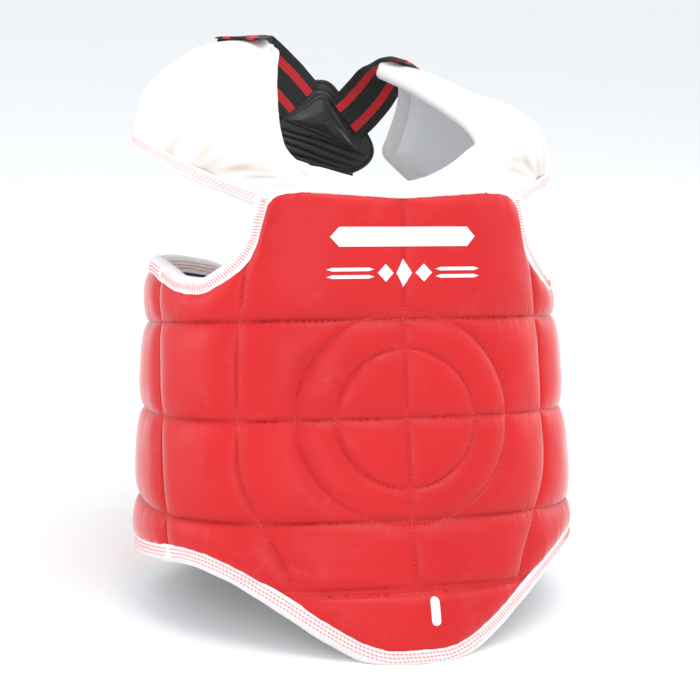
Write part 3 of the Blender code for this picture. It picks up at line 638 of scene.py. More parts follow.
def make_materials():
    return {
        # each vinyl's second colour is its painted shade for grooves and creases
        "red": vinyl("red_vinyl", (0.61, 0.009, 0.012), (0.34, 0.003, 0.005), (0.55, 0.007, 0.010),
                     roughness=0.40, grain=0.3, specular=0.32, haze=0.9),
        "white": vinyl("white_vinyl", (0.81, 0.81, 0.815), (0.56, 0.43, 0.31), (0.79, 0.79, 0.80),
                       roughness=0.46, grain=0.25, specular=0.3),
        "black": vinyl("black_vinyl", (0.015, 0.015, 0.016), (0.004, 0.004, 0.004), (0.022, 0.022, 0.023),
                       roughness=0.41, grain=0.5, specular=0.6),
        "tape": tape("white_tape", (0.87, 0.845, 0.845), (0.74, 0.71, 0.71)),
        "black_tape": tape("black_tape", (0.018, 0.018, 0.019), (0.005, 0.005, 0.005)),
        "grey": cloth("grey_lining", (0.89, 0.905, 0.93), (0.84, 0.86, 0.89), 0.0009),
        "dark": cloth("black_lining", (0.020, 0.020, 0.022), (0.008, 0.008, 0.009), 0.0011),
        "elastic": elastic("striped_elastic", (0.014, 0.014, 0.015), (0.78, 0.016, 0.030)),
        "hook": fuzz("hook_tape", (0.008, 0.008, 0.009), (0.05, 0.05, 0.055), 900.0),
        "loop": fuzz("loop_tape", (0.010, 0.010, 0.011), (0.045, 0.045, 0.05), 1300.0),
        "foam": foam_material("foam", (0.66, 0.66, 0.60)),
        "red_thread": thread_material("red_thread", (0.80, 0.040, 0.048), (0.60, 0.020, 0.026)),
        "pink_thread": thread_material("pink_thread", (0.88, 0.30, 0.30), (0.78, 0.20, 0.20)),
        "pale_thread": thread_material("pale_thread", (0.90, 0.58, 0.57), (0.84, 0.48, 0.47)),
        "black_thread": thread_material("black_thread", (0.035, 0.035, 0.037), (0.015, 0.015, 0.016)),
        "print": print_material("white_print", (0.86, 0.82, 0.83), (0.82, 0.66, 0.67)),
    }


# ---- helpers that attach pieces ------------------------------------------------------------------
FOLD_REACH = 0.030  # a wing's cloth turns over this distance past its fold


def fold_plane(side):
    """Start and end points of the bend of a wing, square to its fold line."""
    low, mid, high = (trunk_point(side * fold_angle(z), z, 0.0026) for z in (0.08, 0.18, 0.28))
    axis = unit(high - low)
    ahead = trunk_point(side * (fold_angle(0.18) + 6), 0.18) - trunk_point(side * fold_angle(0.18), 0.18)
    ahead = unit(ahead - axis * (ahead @ axis))
    return to_world(mid), to_world(mid + ahead * FOLD_REACH)


def attach(piece, where, node=None):
    """Parents a piece to its body's empty, or bakes its transform for a wing or the yoke, and hides the part it
    replaces.
    """
    if where in ("right_wing", "left_wing"):
        start, end = fold_plane(-1 if where == "right_wing" else 1)
        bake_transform(piece)
    elif where == "yoke":
        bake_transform(piece)
    else:
        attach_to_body(piece, where)
    if node:
        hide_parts(node)
    return piece


def even_along_top(low, high, count):
    angles = np.linspace(low, high, 2000)
    length = lengths_along(trunk_base(angles, top_edge(angles)))
    return np.interp(np.linspace(0, length[-1], count), length, angles)


def front_columns(inner_count, outer_count):
    """Columns evenly along the front's top edge, with one on each armhole corner."""
    inner = even_along_top(0.0, ARMHOLE_ANGLE, inner_count)
    outer = even_along_top(ARMHOLE_ANGLE, SIDE_ANGLE, outer_count)
    half = np.concatenate([inner[:-1], outer])
    return np.concatenate([-half[:0:-1], half])


def front_angle(column, z):
    share = smooth_step(np.abs(column), 56, SIDE_ANGLE)
    return np.sign(column) * (np.abs(column) + (fold_angle(z) - SIDE_ANGLE) * share)


def front_grid(pitch):
    """Angles and heights of the front panel's points, [column, row]."""
    columns = front_columns(int(0.118 / pitch) + 2, int(0.135 / pitch) + 2)[:, None]
    shares = np.linspace(0, 1, int(0.31 / pitch))[None, :]
    low = hem_edge(front_angle(columns, 0.08))
    high = top_edge(front_angle(columns, 0.28))
    z = low + (high - low) * shares
    return front_angle(columns, z), z


def wing_grid(side, pitch):
    columns = np.linspace(0, 1, int(0.19 / pitch))[:, None]
    shares = np.linspace(0, 1, int(0.21 / pitch))[None, :]

    def angle_at(z):
        return fold_angle(z) + (REAR_ANGLE - fold_angle(z)) * columns

    low, high = hem_edge(angle_at(0.08)), top_edge(angle_at(0.28))
    z = low + (high - low) * shares
    return side * angle_at(z), z


def quilted_panel(prefix, grid_at, where, materials):
    """Cover, foam and lining of a trunk panel."""
    angle, z = grid_at(0.00105)
    rise, painted_shade = quilt(angle, z)
    flip = angle[0, 0] > angle[-1, 0]
    outer, inner = trunk_point(angle, z, rise), trunk_point(angle, z, rise - VINYL_THICK)
    cover = shell(f"{prefix}_cover_skin", outer, inner, materials["red"], flip=flip, painted_shade=painted_shade)
    attach(cover, where, f"{prefix}_cover")
    angle, z = grid_at(0.0022)
    deep = lining_depth(angle, z)
    outer, inner = trunk_point(angle, z, 0.0009 - deep), trunk_point(angle, z, -deep)
    lining = shell(f"{prefix}_lining_cloth", outer, inner, materials["dark"], flip=flip)
    attach(lining, where, f"{prefix}_lining")
    angle, z = grid_at(0.0045)
    rise, deep = quilt(angle, z)[0], lining_depth(angle, z)
    outer = trunk_point(angle, z, rise - VINYL_THICK - 0.0016)
    inner = trunk_point(angle, z, -deep + 0.0022)
    foam = shell(f"{prefix}_foam_core", outer, inner, materials["foam"], flip=flip)
    attach(foam, where, f"{prefix}_foam")


# ---- bound edges -------------------------------------------------------------------------------
def tape_section(width, thick):
    """Middle line of a folded tape's section as (outward, rise), and its unit facing directions."""
    knots = (
        (-TAPE_LIP, 0.0005), (width * 0.30, 0.0005), (width * 0.66, -0.0001), (width * 0.90, -thick * 0.20),
        (width, -thick * 0.5), (width * 0.90, -thick * 0.80), (width * 0.66, 0.0001 - thick),
        (width * 0.30, -0.0005 - thick), (-TAPE_LIP, -0.0005 - thick),
    )
    line = spline(np.array(knots), np.linspace(0, 1, 25))
    ahead = unit(np.gradient(line, axis=0))
    return line, np.stack([-ahead[:, 1], ahead[:, 0]], -1)


def tape_threads(starts, shares, out, places, lines, width, face, thick):
    """Short threads on a tape's face; out gives how far across the tape each point of a thread lies."""
    edges, normals, outward, thicks = lines
    along = starts[:, None] + shares
    at, up, side = (at_places(along, places, values) for values in (edges, normals, outward))
    arch = 0.00022 * np.sin(np.pi * np.linspace(0, 1, shares.shape[-1]))
    surface = 0.0005 - 0.0006 * smooth_step(out, 0.3 * width, 0.66 * width) + TAPE_THICK / 2 - 0.0001 + arch
    rise = surface if face > 0 else -np.interp(along, places, thicks) - surface
    path = at + side * out[..., None] + up * rise[..., None]
    ahead = unit(np.gradient(path, axis=1))
    across = unit(np.cross(ahead, up))
    radii = thick * np.sin(np.linspace(0.35, np.pi - 0.35, shares.shape[-1])) ** 0.4
    return thread_rings(path, up, across, radii)


def ladder(places, lines, width, face):
    """Slanting bars of thread across a tape."""
    starts = np.arange(0.003, places[-1] - 0.003, 0.0023)
    shares = np.linspace(0, 1, 7)
    lean = 0.0011 + 0.0003 * ripple(starts, (0.013, 0.021), 1.0)
    reach = 0.62 + 0.05 * ripple(starts, (0.009, 0.016), 3.0)
    out = width * (0.05 + (reach - 0.05)[:, None] * shares)
    return tape_threads(starts, lean[:, None] * shares, out, places, lines, width, face, 0.00036)


def stitch_rows(places, lines, width, face):
    """Three rows of stitches along a tape."""
    rings = []
    for k, share in enumerate((0.10, 0.34, 0.58)):
        starts = np.arange(0.003 + 0.0009 * k, places[-1] - 0.003, 0.0031)
        out = width * (share + 0.015 * ripple(starts, (0.019, 0.031), k + 1.0))
        out = out[:, None] + 0.0004 * np.linspace(-0.5, 0.5, 7)
        shares = np.linspace(0, 0.0023, 7)[None]
        rings.append(tape_threads(starts, shares, out, places, lines, width, face, 0.00055))
    return np.concatenate(rings)


def bound_edge(name, edges, normals, width, thicks, materials, where, node, flip=1, first_ahead=None,
               faces=(1, -1), stitches=ladder, thread="pink_thread", closed=False):
    """A folded tape over a panel's edge, with threads on its faces. A closed one has its ends drawn shut."""
    length = lengths_along(edges)
    places = np.linspace(0, length[-1], int(length[-1] / 0.0014))
    edges, normals = (at_places(places, length, values) for values in (edges, normals))
    thicks = np.interp(places, length, thicks)
    normals = unit(normals)
    ahead = unit(np.gradient(edges, axis=0))
    if first_ahead is not None:
        turn = smooth_step(places, 0, 0.012)[:, None]
        ahead = unit(first_ahead * (1 - turn) + ahead * turn)
    outward = unit(np.cross(ahead, normals)) * flip
    sway = 1 + 0.035 * ripple(places, (0.031, 0.047, 0.083), 2.0)
    from_end = np.minimum(places, places[-1] - places)
    shut = mix(0.15, 1.0, smooth_step(from_end, 0, 0.007)) if closed else np.ones_like(places)
    rings = []
    for i in range(len(places)):
        line, facing = tape_section(width * sway[i] * shut[i], thicks[i] * shut[i])
        ring = np.vstack([line + facing * TAPE_THICK / 2, (line - facing * TAPE_THICK / 2)[::-1]])
        sunk = ring[:, 1:] - thicks[i] * (1 - shut[i]) / 2
        rings.append(edges[i] + ring[:, :1] * outward[i] + sunk * normals[i])
    rings = np.array(rings)
    around = lengths_along(rings[0])
    uv = np.stack(np.broadcast_arrays(places[:, None], around[None, :]), -1)
    turned = rings[:, ::-1] if flip < 0 else rings
    binding = tubes(name, turned[None], materials["tape"], uv=(uv[:, ::-1] if flip < 0 else uv)[None])
    attach(binding, where, node)
    if closed:
        free = from_end > 0.008
        places, edges, normals, outward, thicks = (
            values[free] for values in (places, edges, normals, outward, thicks)
        )
        places = places - places[0]
    for face in faces:
        bars = stitches(places, (edges, normals, outward, thicks), width, face)
        attach(tubes(f"{name}_stitches_{'outer' if face > 0 else 'inner'}", bars, materials[thread]), where)
    return binding


def hem_stitches(places, lines, width, face):
    """Rows of stitches up to the hem's tip and slanting bars after it."""
    rows, bars = stitch_rows(places, lines, width, face), ladder(places, lines, width, face)
    turn = lines[0][:, 0].searchsorted(0.045)
    split = places[turn]

    def before(rings):
        middle = rings.mean((1, 2))
        along = places[np.argmin(np.linalg.norm(lines[0][None, ::6] - middle[:, None], axis=-1), axis=1) * 6]
        return along < split

    return np.concatenate([rows[before(rows)], bars[~before(bars)]])


def trunk_bindings(materials):
    columns = front_columns(120, 120)
    angle = front_angle(columns, hem_edge(columns))
    low = hem_edge(angle)
    bound_edge("front_hem_tape", trunk_point(angle, low), trunk_normal(angle, low), BIND_WIDTH,
               np.full(len(angle), PANEL_EDGE_THICK), materials, "trunk", "front_hem_binding",
               stitches=hem_stitches)
    for name, side in SIDES:
        column = even_along_top(ARMHOLE_ANGLE, SIDE_ANGLE, 160)
        angle = side * front_angle(column, top_edge(column))
        angle = np.concatenate([np.full(4, angle[0]), angle])
        high = np.concatenate([top_edge(angle[0]) + np.linspace(0.0042, 0.0010, 4), top_edge(angle[4:])])
        bound_edge(f"{name}_armhole_tape", trunk_point(angle, high), trunk_normal(angle, high), BIND_WIDTH,
                   np.full(len(angle), PANEL_EDGE_THICK), materials, "trunk", f"{name}_armhole_binding",
                   flip=-side, first_ahead=np.array([0.0, 0.0, -1.0]))


def wing_binding(name, side, materials):
    columns = np.linspace(0, 1, 140)
    top = fold_angle(0.28) + (REAR_ANGLE - fold_angle(0.28)) * columns
    top_path = np.stack([top, top_edge(top)], -1)
    low, high = hem_edge(REAR_ANGLE), top_edge(REAR_ANGLE)
    rear_path = np.stack([np.full(80, REAR_ANGLE), np.linspace(high, low, 82)[1:-1]], -1)
    bottom = fold_angle(0.08) + (REAR_ANGLE - fold_angle(0.08)) * columns[::-1]
    bottom_path = np.stack([bottom, hem_edge(bottom)], -1)
    for path, column in ((top_path, 0), (bottom_path, -1)):
        path[column, 0] = fold_angle(path[column, 1])
    angle, z = np.vstack([top_path, rear_path, bottom_path]).T
    edges, normals, _ = resample(trunk_point(side * angle, z), trunk_normal(side * angle, z), 0.0015)
    bound_edge(f"{name}_wing_tape", averaged_inside(edges, 4), normals, BIND_WIDTH,
               np.full(len(edges), PANEL_EDGE_THICK), materials, f"{name}_wing", f"{name}_wing_binding",
               flip=-side, stitches=stitch_rows)


# ---- stitches and prints on the trunk ----------------------------------------------------------
def cover_path(angle, z, lift=-0.00012):
    rise = quilt(angle, z)[0]
    return trunk_point(angle, z, rise + lift), trunk_normal(angle, z)


def line_paths(side, wing):
    """Angle and height arrays of the stitch lines on the front or on one wing."""
    paths = []
    if wing:
        for line in (CHEST_LINE, WAIST_LINE, BELLY_LINE):
            angle = np.linspace(fold_angle(line) + 0.3, REAR_ANGLE - 1.0, 300)
            paths.append((side * angle, stitch_height(line, angle)))
        z = np.linspace(hem_edge(REAR_LINE) + 0.002, top_edge(REAR_LINE) - 0.002, 300)
        paths.append((np.full(300, side * REAR_LINE), z))
        return paths
    for line in (CHEST_LINE, WAIST_LINE, BELLY_LINE):
        end = fold_angle(line) - 0.3
        angle = np.linspace(-end, end, 700)
        paths.append((angle, stitch_height(line, angle)))
    for offset in TWIN_OFFSETS:
        angle = np.linspace(-45.0, 45.0, 400)
        angle = angle[TIP_LINE + offset > hem_edge(angle) + 0.001]
        paths.append((angle, np.full(len(angle), TIP_LINE + offset)))
    z = np.linspace(TIP_LINE + 0.002, 0.3385, 500)
    paths.append((np.zeros(500), z))
    for sign in (-1, 1):
        z = np.linspace(0.056, 0.300, 500)
        angle = inner_stitch_angle(z)
        inside = z < top_edge(angle) - 0.002
        paths.append((sign * angle[inside], z[inside]))
        z = np.linspace(hem_edge(74.5) + 0.002, top_edge(84.0) - 0.002, 400)
        paths.append((sign * (fold_angle(z) - 0.35), z))
    turn = np.linspace(0, 2 * np.pi, 600)
    columns = np.linspace(-60, 60, 1200)
    for radius in TARGET_RADII:
        z = TARGET_HEIGHT + radius * np.cos(turn)
        x = radius * TARGET_STRETCH * np.sin(turn)
        angle = np.array([np.interp(a, trunk_base(columns, h)[:, 0], columns) for a, h in zip(x, z)])
        paths.append((angle, z))
    return paths


def quilting_thread(name, paths, material, where):
    rings = [stitch_rings(*cover_path(angle, z)) for angle, z in paths]
    attach(tubes(name, np.concatenate(rings), material), where)


def printed_shape(name, centre, half_height, xs, material):
    """A thin raised print on the cover: half_height gives its half height at each x of xs."""
    cx, cz = centre
    columns = np.linspace(-60, 60, 1200)
    rows = np.linspace(-1, 1, 13)
    z = cz + half_height[:, None] * rows
    x = np.broadcast_to(cx + xs[:, None], z.shape)
    table = trunk_base(columns, cz)[:, 0]
    angle = np.interp(x, table, columns)
    rise = quilt(angle, z)[0]
    outer, inner = trunk_point(angle, z, rise + 0.00035), trunk_point(angle, z, rise - 0.0002)
    attach(shell(name, outer, inner, material), "trunk")


def prints(materials):
    """Plain marks: a pointed bar, a row of diamonds between thin rules, and a short upright bar."""
    material = materials["print"]
    xs = np.linspace(-0.056, 0.056, 240)
    height = 0.0072 * np.clip((0.056 - np.abs(xs)) / 0.0065, 0.04, 1)
    printed_shape("chest_bar", (0.0, 0.3105), height, xs, material)
    for k, offset in enumerate((-0.0150, 0.0, 0.0150)):
        xs = np.linspace(-0.0062, 0.0062, 40)
        height = (0.0105 if k == 1 else 0.0066) * np.clip(1 - np.abs(xs) / 0.0062, 0.03, 1)
        printed_shape(f"chest_diamond_{k + 1}", (offset, 0.2840), height, xs, material)
    for name, side in SIDES:
        for k, rise in enumerate((-0.0027, 0.0027)):
            xs = np.linspace(-0.0175, 0.0175, 80)
            printed_shape(f"{name}_chest_rule_{k + 1}", (side * 0.0415, 0.2840 + rise),
                          0.0013 * np.clip((0.0175 - np.abs(xs)) / 0.004, 0.1, 1), xs, material)
    xs = np.linspace(-0.0035, 0.0035, 24)
    round_end = 0.0105 - 0.0035 + 0.0035 * np.sqrt(np.clip(1 - (xs / 0.00351) ** 2, 0.0, 1.0))
    printed_shape("size_bar", (0.0118, 0.0370), round_end, xs, material)


# ---- the shoulder yoke -------------------------------------------------------------------------
RIGHT_FLAP_ROWS = (
    ((0.0737, -0.1078, 0.3575), (0.1050, -0.1000, 0.3610), (0.1390, -0.0800, 0.3575)),
    ((0.0850, -0.0930, 0.3760), (0.1250, -0.0800, 0.3860), (0.1630, -0.0480, 0.3750)),
    ((0.0822, -0.0660, 0.3985), (0.1450, -0.0450, 0.4090), (0.1690, 0.0020, 0.3900)),
    ((0.0731, -0.0340, 0.4225), (0.1450, -0.0060, 0.4350), (0.1560, 0.0440, 0.3980)),
    ((0.0633, -0.0060, 0.4450), (0.1190, 0.0160, 0.4570), (0.1270, 0.0660, 0.4120)),
    ((0.0500, 0.0280, 0.4660), (0.0860, 0.0360, 0.4630), (0.0980, 0.0720, 0.4260)),
)
LEFT_FLAP_ROWS = (
    ((0.0727, -0.1065, 0.3757), (0.1000, -0.1030, 0.3700), (0.1285, -0.0780, 0.3540)),
    ((0.0693, -0.0920, 0.3957), (0.1220, -0.0820, 0.3950), (0.1540, -0.0360, 0.3610)),
    ((0.0625, -0.0660, 0.4110), (0.1320, -0.0380, 0.4060), (0.1450, 0.0260, 0.3540)),
    ((0.0560, -0.0360, 0.4250), (0.1180, 0.0020, 0.4150), (0.1130, 0.0680, 0.3560)),
    ((0.0464, -0.0080, 0.4384), (0.0940, 0.0280, 0.4310), (0.0880, 0.0780, 0.3700)),
    ((0.0365, 0.0250, 0.4510), (0.0700, 0.0420, 0.4420), (0.0680, 0.0780, 0.3880)),
)
FLAP_ROWS = {"right": RIGHT_FLAP_ROWS, "left": LEFT_FLAP_ROWS}
FLAP_CREASES = (  # place across and along the flap, slant, width and depth
    (0.86, 0.200, -0.55, 0.024, 0.0021), (0.70, 0.170, -0.25, 0.020, 0.0019),
    (0.60, 0.105, 0.10, 0.016, 0.0014), (0.52, 0.150, 0.15, 0.024, 0.0014),
    (0.93, 0.330, -0.85, 0.030, 0.0013), (0.80, 0.260, -0.70, 0.020, 0.0012),
)


def seam_angle(u):
    return SEAM_ANGLE + 0.2 + (ARMHOLE_ANGLE - SEAM_ANGLE - 0.4) * u


def seam_point(side, u):
    angle = side * seam_angle(u)
    return trunk_point(angle, top_edge(angle) + EDGE_GAP)


def flap_point(rows, side, u, v):
    """Outer face of a flap: u from the neckline to the outer edge, v from seam to tip."""
    u, v = np.broadcast_arrays(np.asarray(u, float), np.asarray(v, float))
    seam = seam_point(side, np.array([0.0, 0.5, 1.0]))
    lines = np.array(rows) * np.array([side, 1.0, 1.0])
    lines = np.concatenate([seam[None], lines])
    start, crown, end = (spline(lines[:, k], v) for k in range(3))
    a, b, c = ((1 - u) ** 2)[..., None], (2 * u * (1 - u))[..., None], (u**2)[..., None]
    smooth = start * a + (2 * crown - (start + end) / 2) * b + end * c
    plain = seam[0] * a + (2 * seam[1] - (seam[0] + seam[2]) / 2) * b + seam[2] * c
    share = np.clip(1 - v / SEAM_REACH, 0, 1)[..., None] ** 2
    return smooth + (seam_point(side, u) - plain) * share


def flap_normal(rows, side, u, v):
    u, v = np.broadcast_arrays(np.asarray(u, float), np.asarray(v, float))
    step = 0.01
    after_u, before_u = np.minimum(u + step, 1), np.maximum(u - step, 0)
    after_v, before_v = np.minimum(v + step, 1), np.maximum(v - step, 0)
    across = flap_point(rows, side, after_u, v) - flap_point(rows, side, before_u, v)
    along = flap_point(rows, side, u, after_v) - flap_point(rows, side, u, before_v)
    normal = unit(np.cross(across, along)) * side
    at_seam = trunk_normal(side * seam_angle(u), top_edge(seam_angle(u)))
    share = smooth_step(v, 0, SEAM_REACH)[..., None]
    return unit(at_seam * (1 - share) + normal * share)


def flap_reach(rows, side, u, v):
    """Distance to the nearest free edge of a flap."""
    here = flap_point(rows, side, u, v)
    edges = (flap_point(rows, side, 0, v), flap_point(rows, side, 1, v), flap_point(rows, side, u, 1))
    return np.min([np.linalg.norm(here - edge, axis=-1) for edge in edges], axis=0)


def flap_thickness(rows, side, u, v):
    full = smooth_step(flap_reach(rows, side, u, v), 0.0, FLAP_TAPER)
    edge = mix(PANEL_EDGE_THICK, FLAP_EDGE_THICK, smooth_step(v, 0, 0.15))
    return edge + (FLAP_THICK - edge) * full


def flap_rise(rows, side, u, v):
    """Soft crown, seam dips and creases of a flap's face, and how strong the painted shade in each crease is."""
    reach = flap_reach(rows, side, u, v)
    crown = 0.0022 * cell_profile(reach, 0.022) * smooth_step(v, 0.0, 0.10)
    creases, shade = 0.0, 0.0
    for cu, cv, slant, width, depth in FLAP_CREASES:
        away = (v - cv) - slant * (u - cu) * 0.35
        near = np.exp(-((u - cu) / 0.26) ** 2)
        dip = np.exp(-(away / width) ** 2) * near
        creases = creases - depth * dip
        # painted shade along the crease
        shade = shade + dip * 0.70
    gather = ripple(u * 0.11 + v * 0.02, (0.0087, 0.0131, 0.021), side + 3.0)
    gather = gather * np.exp(-v / 0.09) * 0.0006 * smooth_step(v, 0, 0.02)
    sway = ripple(u * 1.0 + 0.4 * v, (0.41, 0.67), side + 0.6) * ripple(v, (0.31, 0.53), 0.2 * side) * 0.0008
    ripples = ripple(v * 0.17, (0.0079, 0.0125, 0.018), side + 5.0) * np.exp(-reach / 0.007) * 0.00035
    rise = crown + creases + gather + sway * smooth_step(reach, 0, 0.02) + ripples - 0.0004
    return rise, np.clip(shade, 0, 1)


def make_flap(name, side, materials):
    rows = FLAP_ROWS[name]
    flip = side < 0

    def grids(columns, count):
        u, v = np.linspace(0, 1, columns)[:, None], np.linspace(0, 1, count)[None, :]
        u, v = np.broadcast_arrays(u, v)
        return u, v, flap_point(rows, side, u, v), flap_normal(rows, side, u, v)

    u, v, points, normals = grids(110, 150)
    rise, shade = flap_rise(rows, side, u, v)
    lap = 1 - smooth_step(v, 0, 0.025)
    points = points - np.array([0.0, 0.0, FLAP_LAP]) * lap[..., None]
    rise = rise + 0.0012 * lap
    outer = points + normals * rise[..., None]
    inner = points + normals * (rise - VINYL_THICK)[..., None]
    cover = shell(f"{name}_flap_skin", outer, inner, materials["white"], flip=flip, painted_shade=shade)
    attach(cover, "yoke", f"{name}_flap_cover")
    deep = flap_thickness(rows, side, u, v)
    sag = 0.0010 * ripple(u * 2.1 + v, (0.9, 1.4), 0.5 * side)
    sag = sag * smooth_step(flap_reach(rows, side, u, v), 0, 0.03)
    outer = points - normals * (deep + sag - 0.0008)[..., None]
    inner = points - normals * (deep + sag)[..., None]
    lining = shell(f"{name}_flap_lining_cloth", outer, inner, materials["grey"], flip=flip)
    attach(lining, "yoke", f"{name}_flap_lining")
    u, v, points, normals = grids(28, 44)
    rise, deep = flap_rise(rows, side, u, v)[0], flap_thickness(rows, side, u, v)
    outer = points + normals * (rise - VINYL_THICK - 0.0008)[..., None]
    inner = points - normals * (deep - 0.0026)[..., None]
    foam = shell(f"{name}_flap_foam_core", outer, inner, materials["foam"], flip=flip)
    attach(foam, "yoke", f"{name}_flap_foam")
    v = np.linspace(0.0, 1, 260)
    u = np.linspace(1, 0, 120)[1:]
    path = np.concatenate([np.stack([np.ones_like(v), v], -1), np.stack([u, np.ones_like(u)], -1)])
    edge = flap_point(rows, side, *path.T)
    edge[:, 2] -= FLAP_LAP * (1 - smooth_step(path[:, 1], 0, 0.025))
    bound_edge(f"{name}_flap_tape", edge, flap_normal(rows, side, *path.T), FLAP_BIND_WIDTH,
               flap_thickness(rows, side, *path.T), materials, "yoke", f"{name}_flap_binding",
               flip=side, faces=(1,), stitches=stitch_rows, thread="pale_thread", closed=True)


def make_neck(materials):
    angle = np.linspace(-SEAM_ANGLE - 3.4, SEAM_ANGLE + 3.4, 330)[:, None]
    shares = np.linspace(0, 1, 34)[None, :]
    at_flap = smooth_step(np.abs(angle), SEAM_ANGLE - 2.5, SEAM_ANGLE + 0.5)
    low, high = top_edge(angle) - 0.0016, neck_edge(angle) + 0.006 * at_flap
    z = low + (high - low) * shares
    angle = np.broadcast_to(angle, z.shape)
    tall = np.maximum(high - low, 0.002)
    bulge = 0.0016 * np.sqrt(np.clip(1 - (2 * shares - 1) ** 2, 0, 1)) * np.minimum(tall / 0.010, 1)
    gather = ripple(angle * 0.0021, (0.0069, 0.0107, 0.0173), 2.0) * 0.00035 * (1 - shares)
    tuck = smooth_step(np.abs(angle), SEAM_ANGLE - 0.6, SEAM_ANGLE + 1.2)
    rise = bulge + gather + 0.0006 * (1 - shares) - 0.0002 - 0.0024 * tuck
    outer = trunk_point(angle, z, rise)
    inner = trunk_point(angle, z, -PANEL_EDGE_THICK - bulge * 0.5)
    # painted shade, darkest at the band's foot where it meets the front's top edge
    shade = np.broadcast_to(0.35 * np.exp(-shares * tall / 0.0012), z.shape)
    band = shell("neck_band_roll", outer, inner, materials["white"], painted_shade=shade)
    attach(band, "yoke", "neck_band")
    parts = []
    for name, side in SIDES:
        v = np.linspace(0.185, 1.0, 200)[::side]
        parts.append([at(FLAP_ROWS[name], side, 0, v) for at in (flap_point, flap_normal, flap_thickness)])
    columns = np.linspace(-SEAM_ANGLE + 0.15, SEAM_ANGLE - 0.15, 200)
    middle = (trunk_point(columns, neck_edge(columns)), trunk_normal(columns, neck_edge(columns)),
              np.full(200, PANEL_EDGE_THICK))
    edges, normals, thicks = (np.concatenate([parts[0][k], middle[k], parts[1][k]]) for k in range(3))
    path, facing, places = resample(edges, normals, 0.0012)
    thicks = np.interp(places, lengths_along(edges), thicks)
    path, facing = averaged_inside(path, 9), unit(averaged(facing, 9))
    bound_edge("neckline_tape", path, facing, NECK_BIND_WIDTH, thicks, materials, "yoke", "neckline_binding",
               flip=-1, faces=(), closed=True)


# ---- straps ------------------------------------------------------------------------------------
def ribbon(name, centres, across, normals, width, thick, material, waves=0.0):
    """A woven strap: a thin closed band with its own along and across axes."""
    shares = np.linspace(-0.5, 0.5, 15)
    length = lengths_along(centres)
    crimp = waves * ripple(length, (0.017, 0.029), 1.0)
    curl = -0.0010 * (2 * shares) ** 2
    base = centres[:, None] + across[:, None] * (shares * width)[None, :, None]
    base = base + normals[:, None] * (crimp[:, None] + curl[None, :])[..., None]
    edge = 1 - 0.75 * np.clip((np.abs(shares) - 0.46) / 0.04, 0, 1)
    outer = base + normals[:, None] * (thick * (0.5 + 0.5 * edge))[None, :, None]
    inner = base + normals[:, None] * (thick * (0.5 - 0.5 * edge))[None, :, None]
    uv = np.stack(np.broadcast_arrays(length[:, None], ((shares + 0.5) * STRAP_WIDTH)[None, :]), -1)
    handed = np.sign(np.sum(np.cross(centres[1] - centres[0], across[0]) * normals[0]))
    return shell(name, outer, inner, material, flip=bool(handed < 0), uv=uv)


STRAP_PATHS = {
    "right": (
        (-0.0690, 0.0460, 0.4690), (-0.0660, 0.0610, 0.4690),
        (-0.0260, 0.0750, 0.4450), (-0.0100, 0.0812, 0.4265),
    ),
    "left": (
        (0.0555, 0.0450, 0.4545), (0.0575, 0.0620, 0.4520),
        (0.0460, 0.0755, 0.4270), (0.0285, 0.0812, 0.4130),
    ),
}
STRAP_TURNS = {"right": (0.77, 0.0, 0.64), "left": (0.62, 0.0, -0.78)}
ANCHOR_ACROSS, ANCHOR_ALONG = (0.05, 0.49), (0.945, 0.995)


def upper_strap(name, side, materials):
    """Elastic sewn on a flap's tip, turned over its taped edge and led down to the back pad."""
    rows = FLAP_ROWS[name]
    tip, leaving, arriving, end = np.array(STRAP_PATHS[name])
    t = np.linspace(0, 1, 80)[:, None]
    free = (
        tip * (1 - t) ** 3 + leaving * 3 * t * (1 - t) ** 2 + arriving * 3 * t**2 * (1 - t) + end * t**3
    )
    turned = smooth_step(t, 0, 1)
    free_across = np.array([1.0, 0.0, 0.0]) * (1 - turned) + STRAP_TURNS[name] * turned
    low_u, high_u = ANCHOR_ACROSS
    v = np.linspace(ANCHOR_ALONG[0], 1.0, 14)
    first, last = (flap_point(rows, side, u, v) for u in (low_u, high_u))
    normal = flap_normal(rows, side, (low_u + high_u) / 2, v)
    sewn = flap_point(rows, side, (low_u + high_u) / 2, v) + normal * 0.0030
    centres = np.vstack([sewn, free[6:]])
    across = np.vstack([(last - first) * side, free_across[6:]])
    blur = np.arange(-5, 6)
    index = np.clip(np.arange(len(centres))[:, None] + blur, 0, len(centres) - 1)
    keep = smooth_step(np.minimum(np.arange(len(centres)), len(centres) - 1 - np.arange(len(centres))), 0, 6)
    centres = mix(centres, centres[index].mean(1), keep[:, None])
    across = unit(unit(across)[index].mean(1))
    along = unit(np.gradient(centres, axis=0))
    across = unit(across - along * np.sum(across * along, -1, keepdims=True))
    normals = np.cross(across, along)
    piece = ribbon(f"{name}_shoulder_elastic", centres, across, normals, STRAP_WIDTH, ELASTIC_THICK,
                   materials["elastic"], waves=0.0005)
    tuple(to_world(tip))
    tuple(to_world(free[36]))
    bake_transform(piece)
    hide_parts(f"{name}_upper_strap", f"{name}_strap_anchor")


LOWER_STRAP_PATH = (
    (0.0220, 0.1020, 0.3575), (0.0255, 0.1140, 0.3200), (0.0330, 0.1200, 0.2850), (0.0450, 0.1240, 0.2430),
)
LOWER_STRAP_TURN, LOWER_STRAP_END = (149.5, 0.217, 0.0100), (144.0, 0.213)
HOOK_SEAM_ANGLE = 139.2  # the strap's last point, just under the hook tab


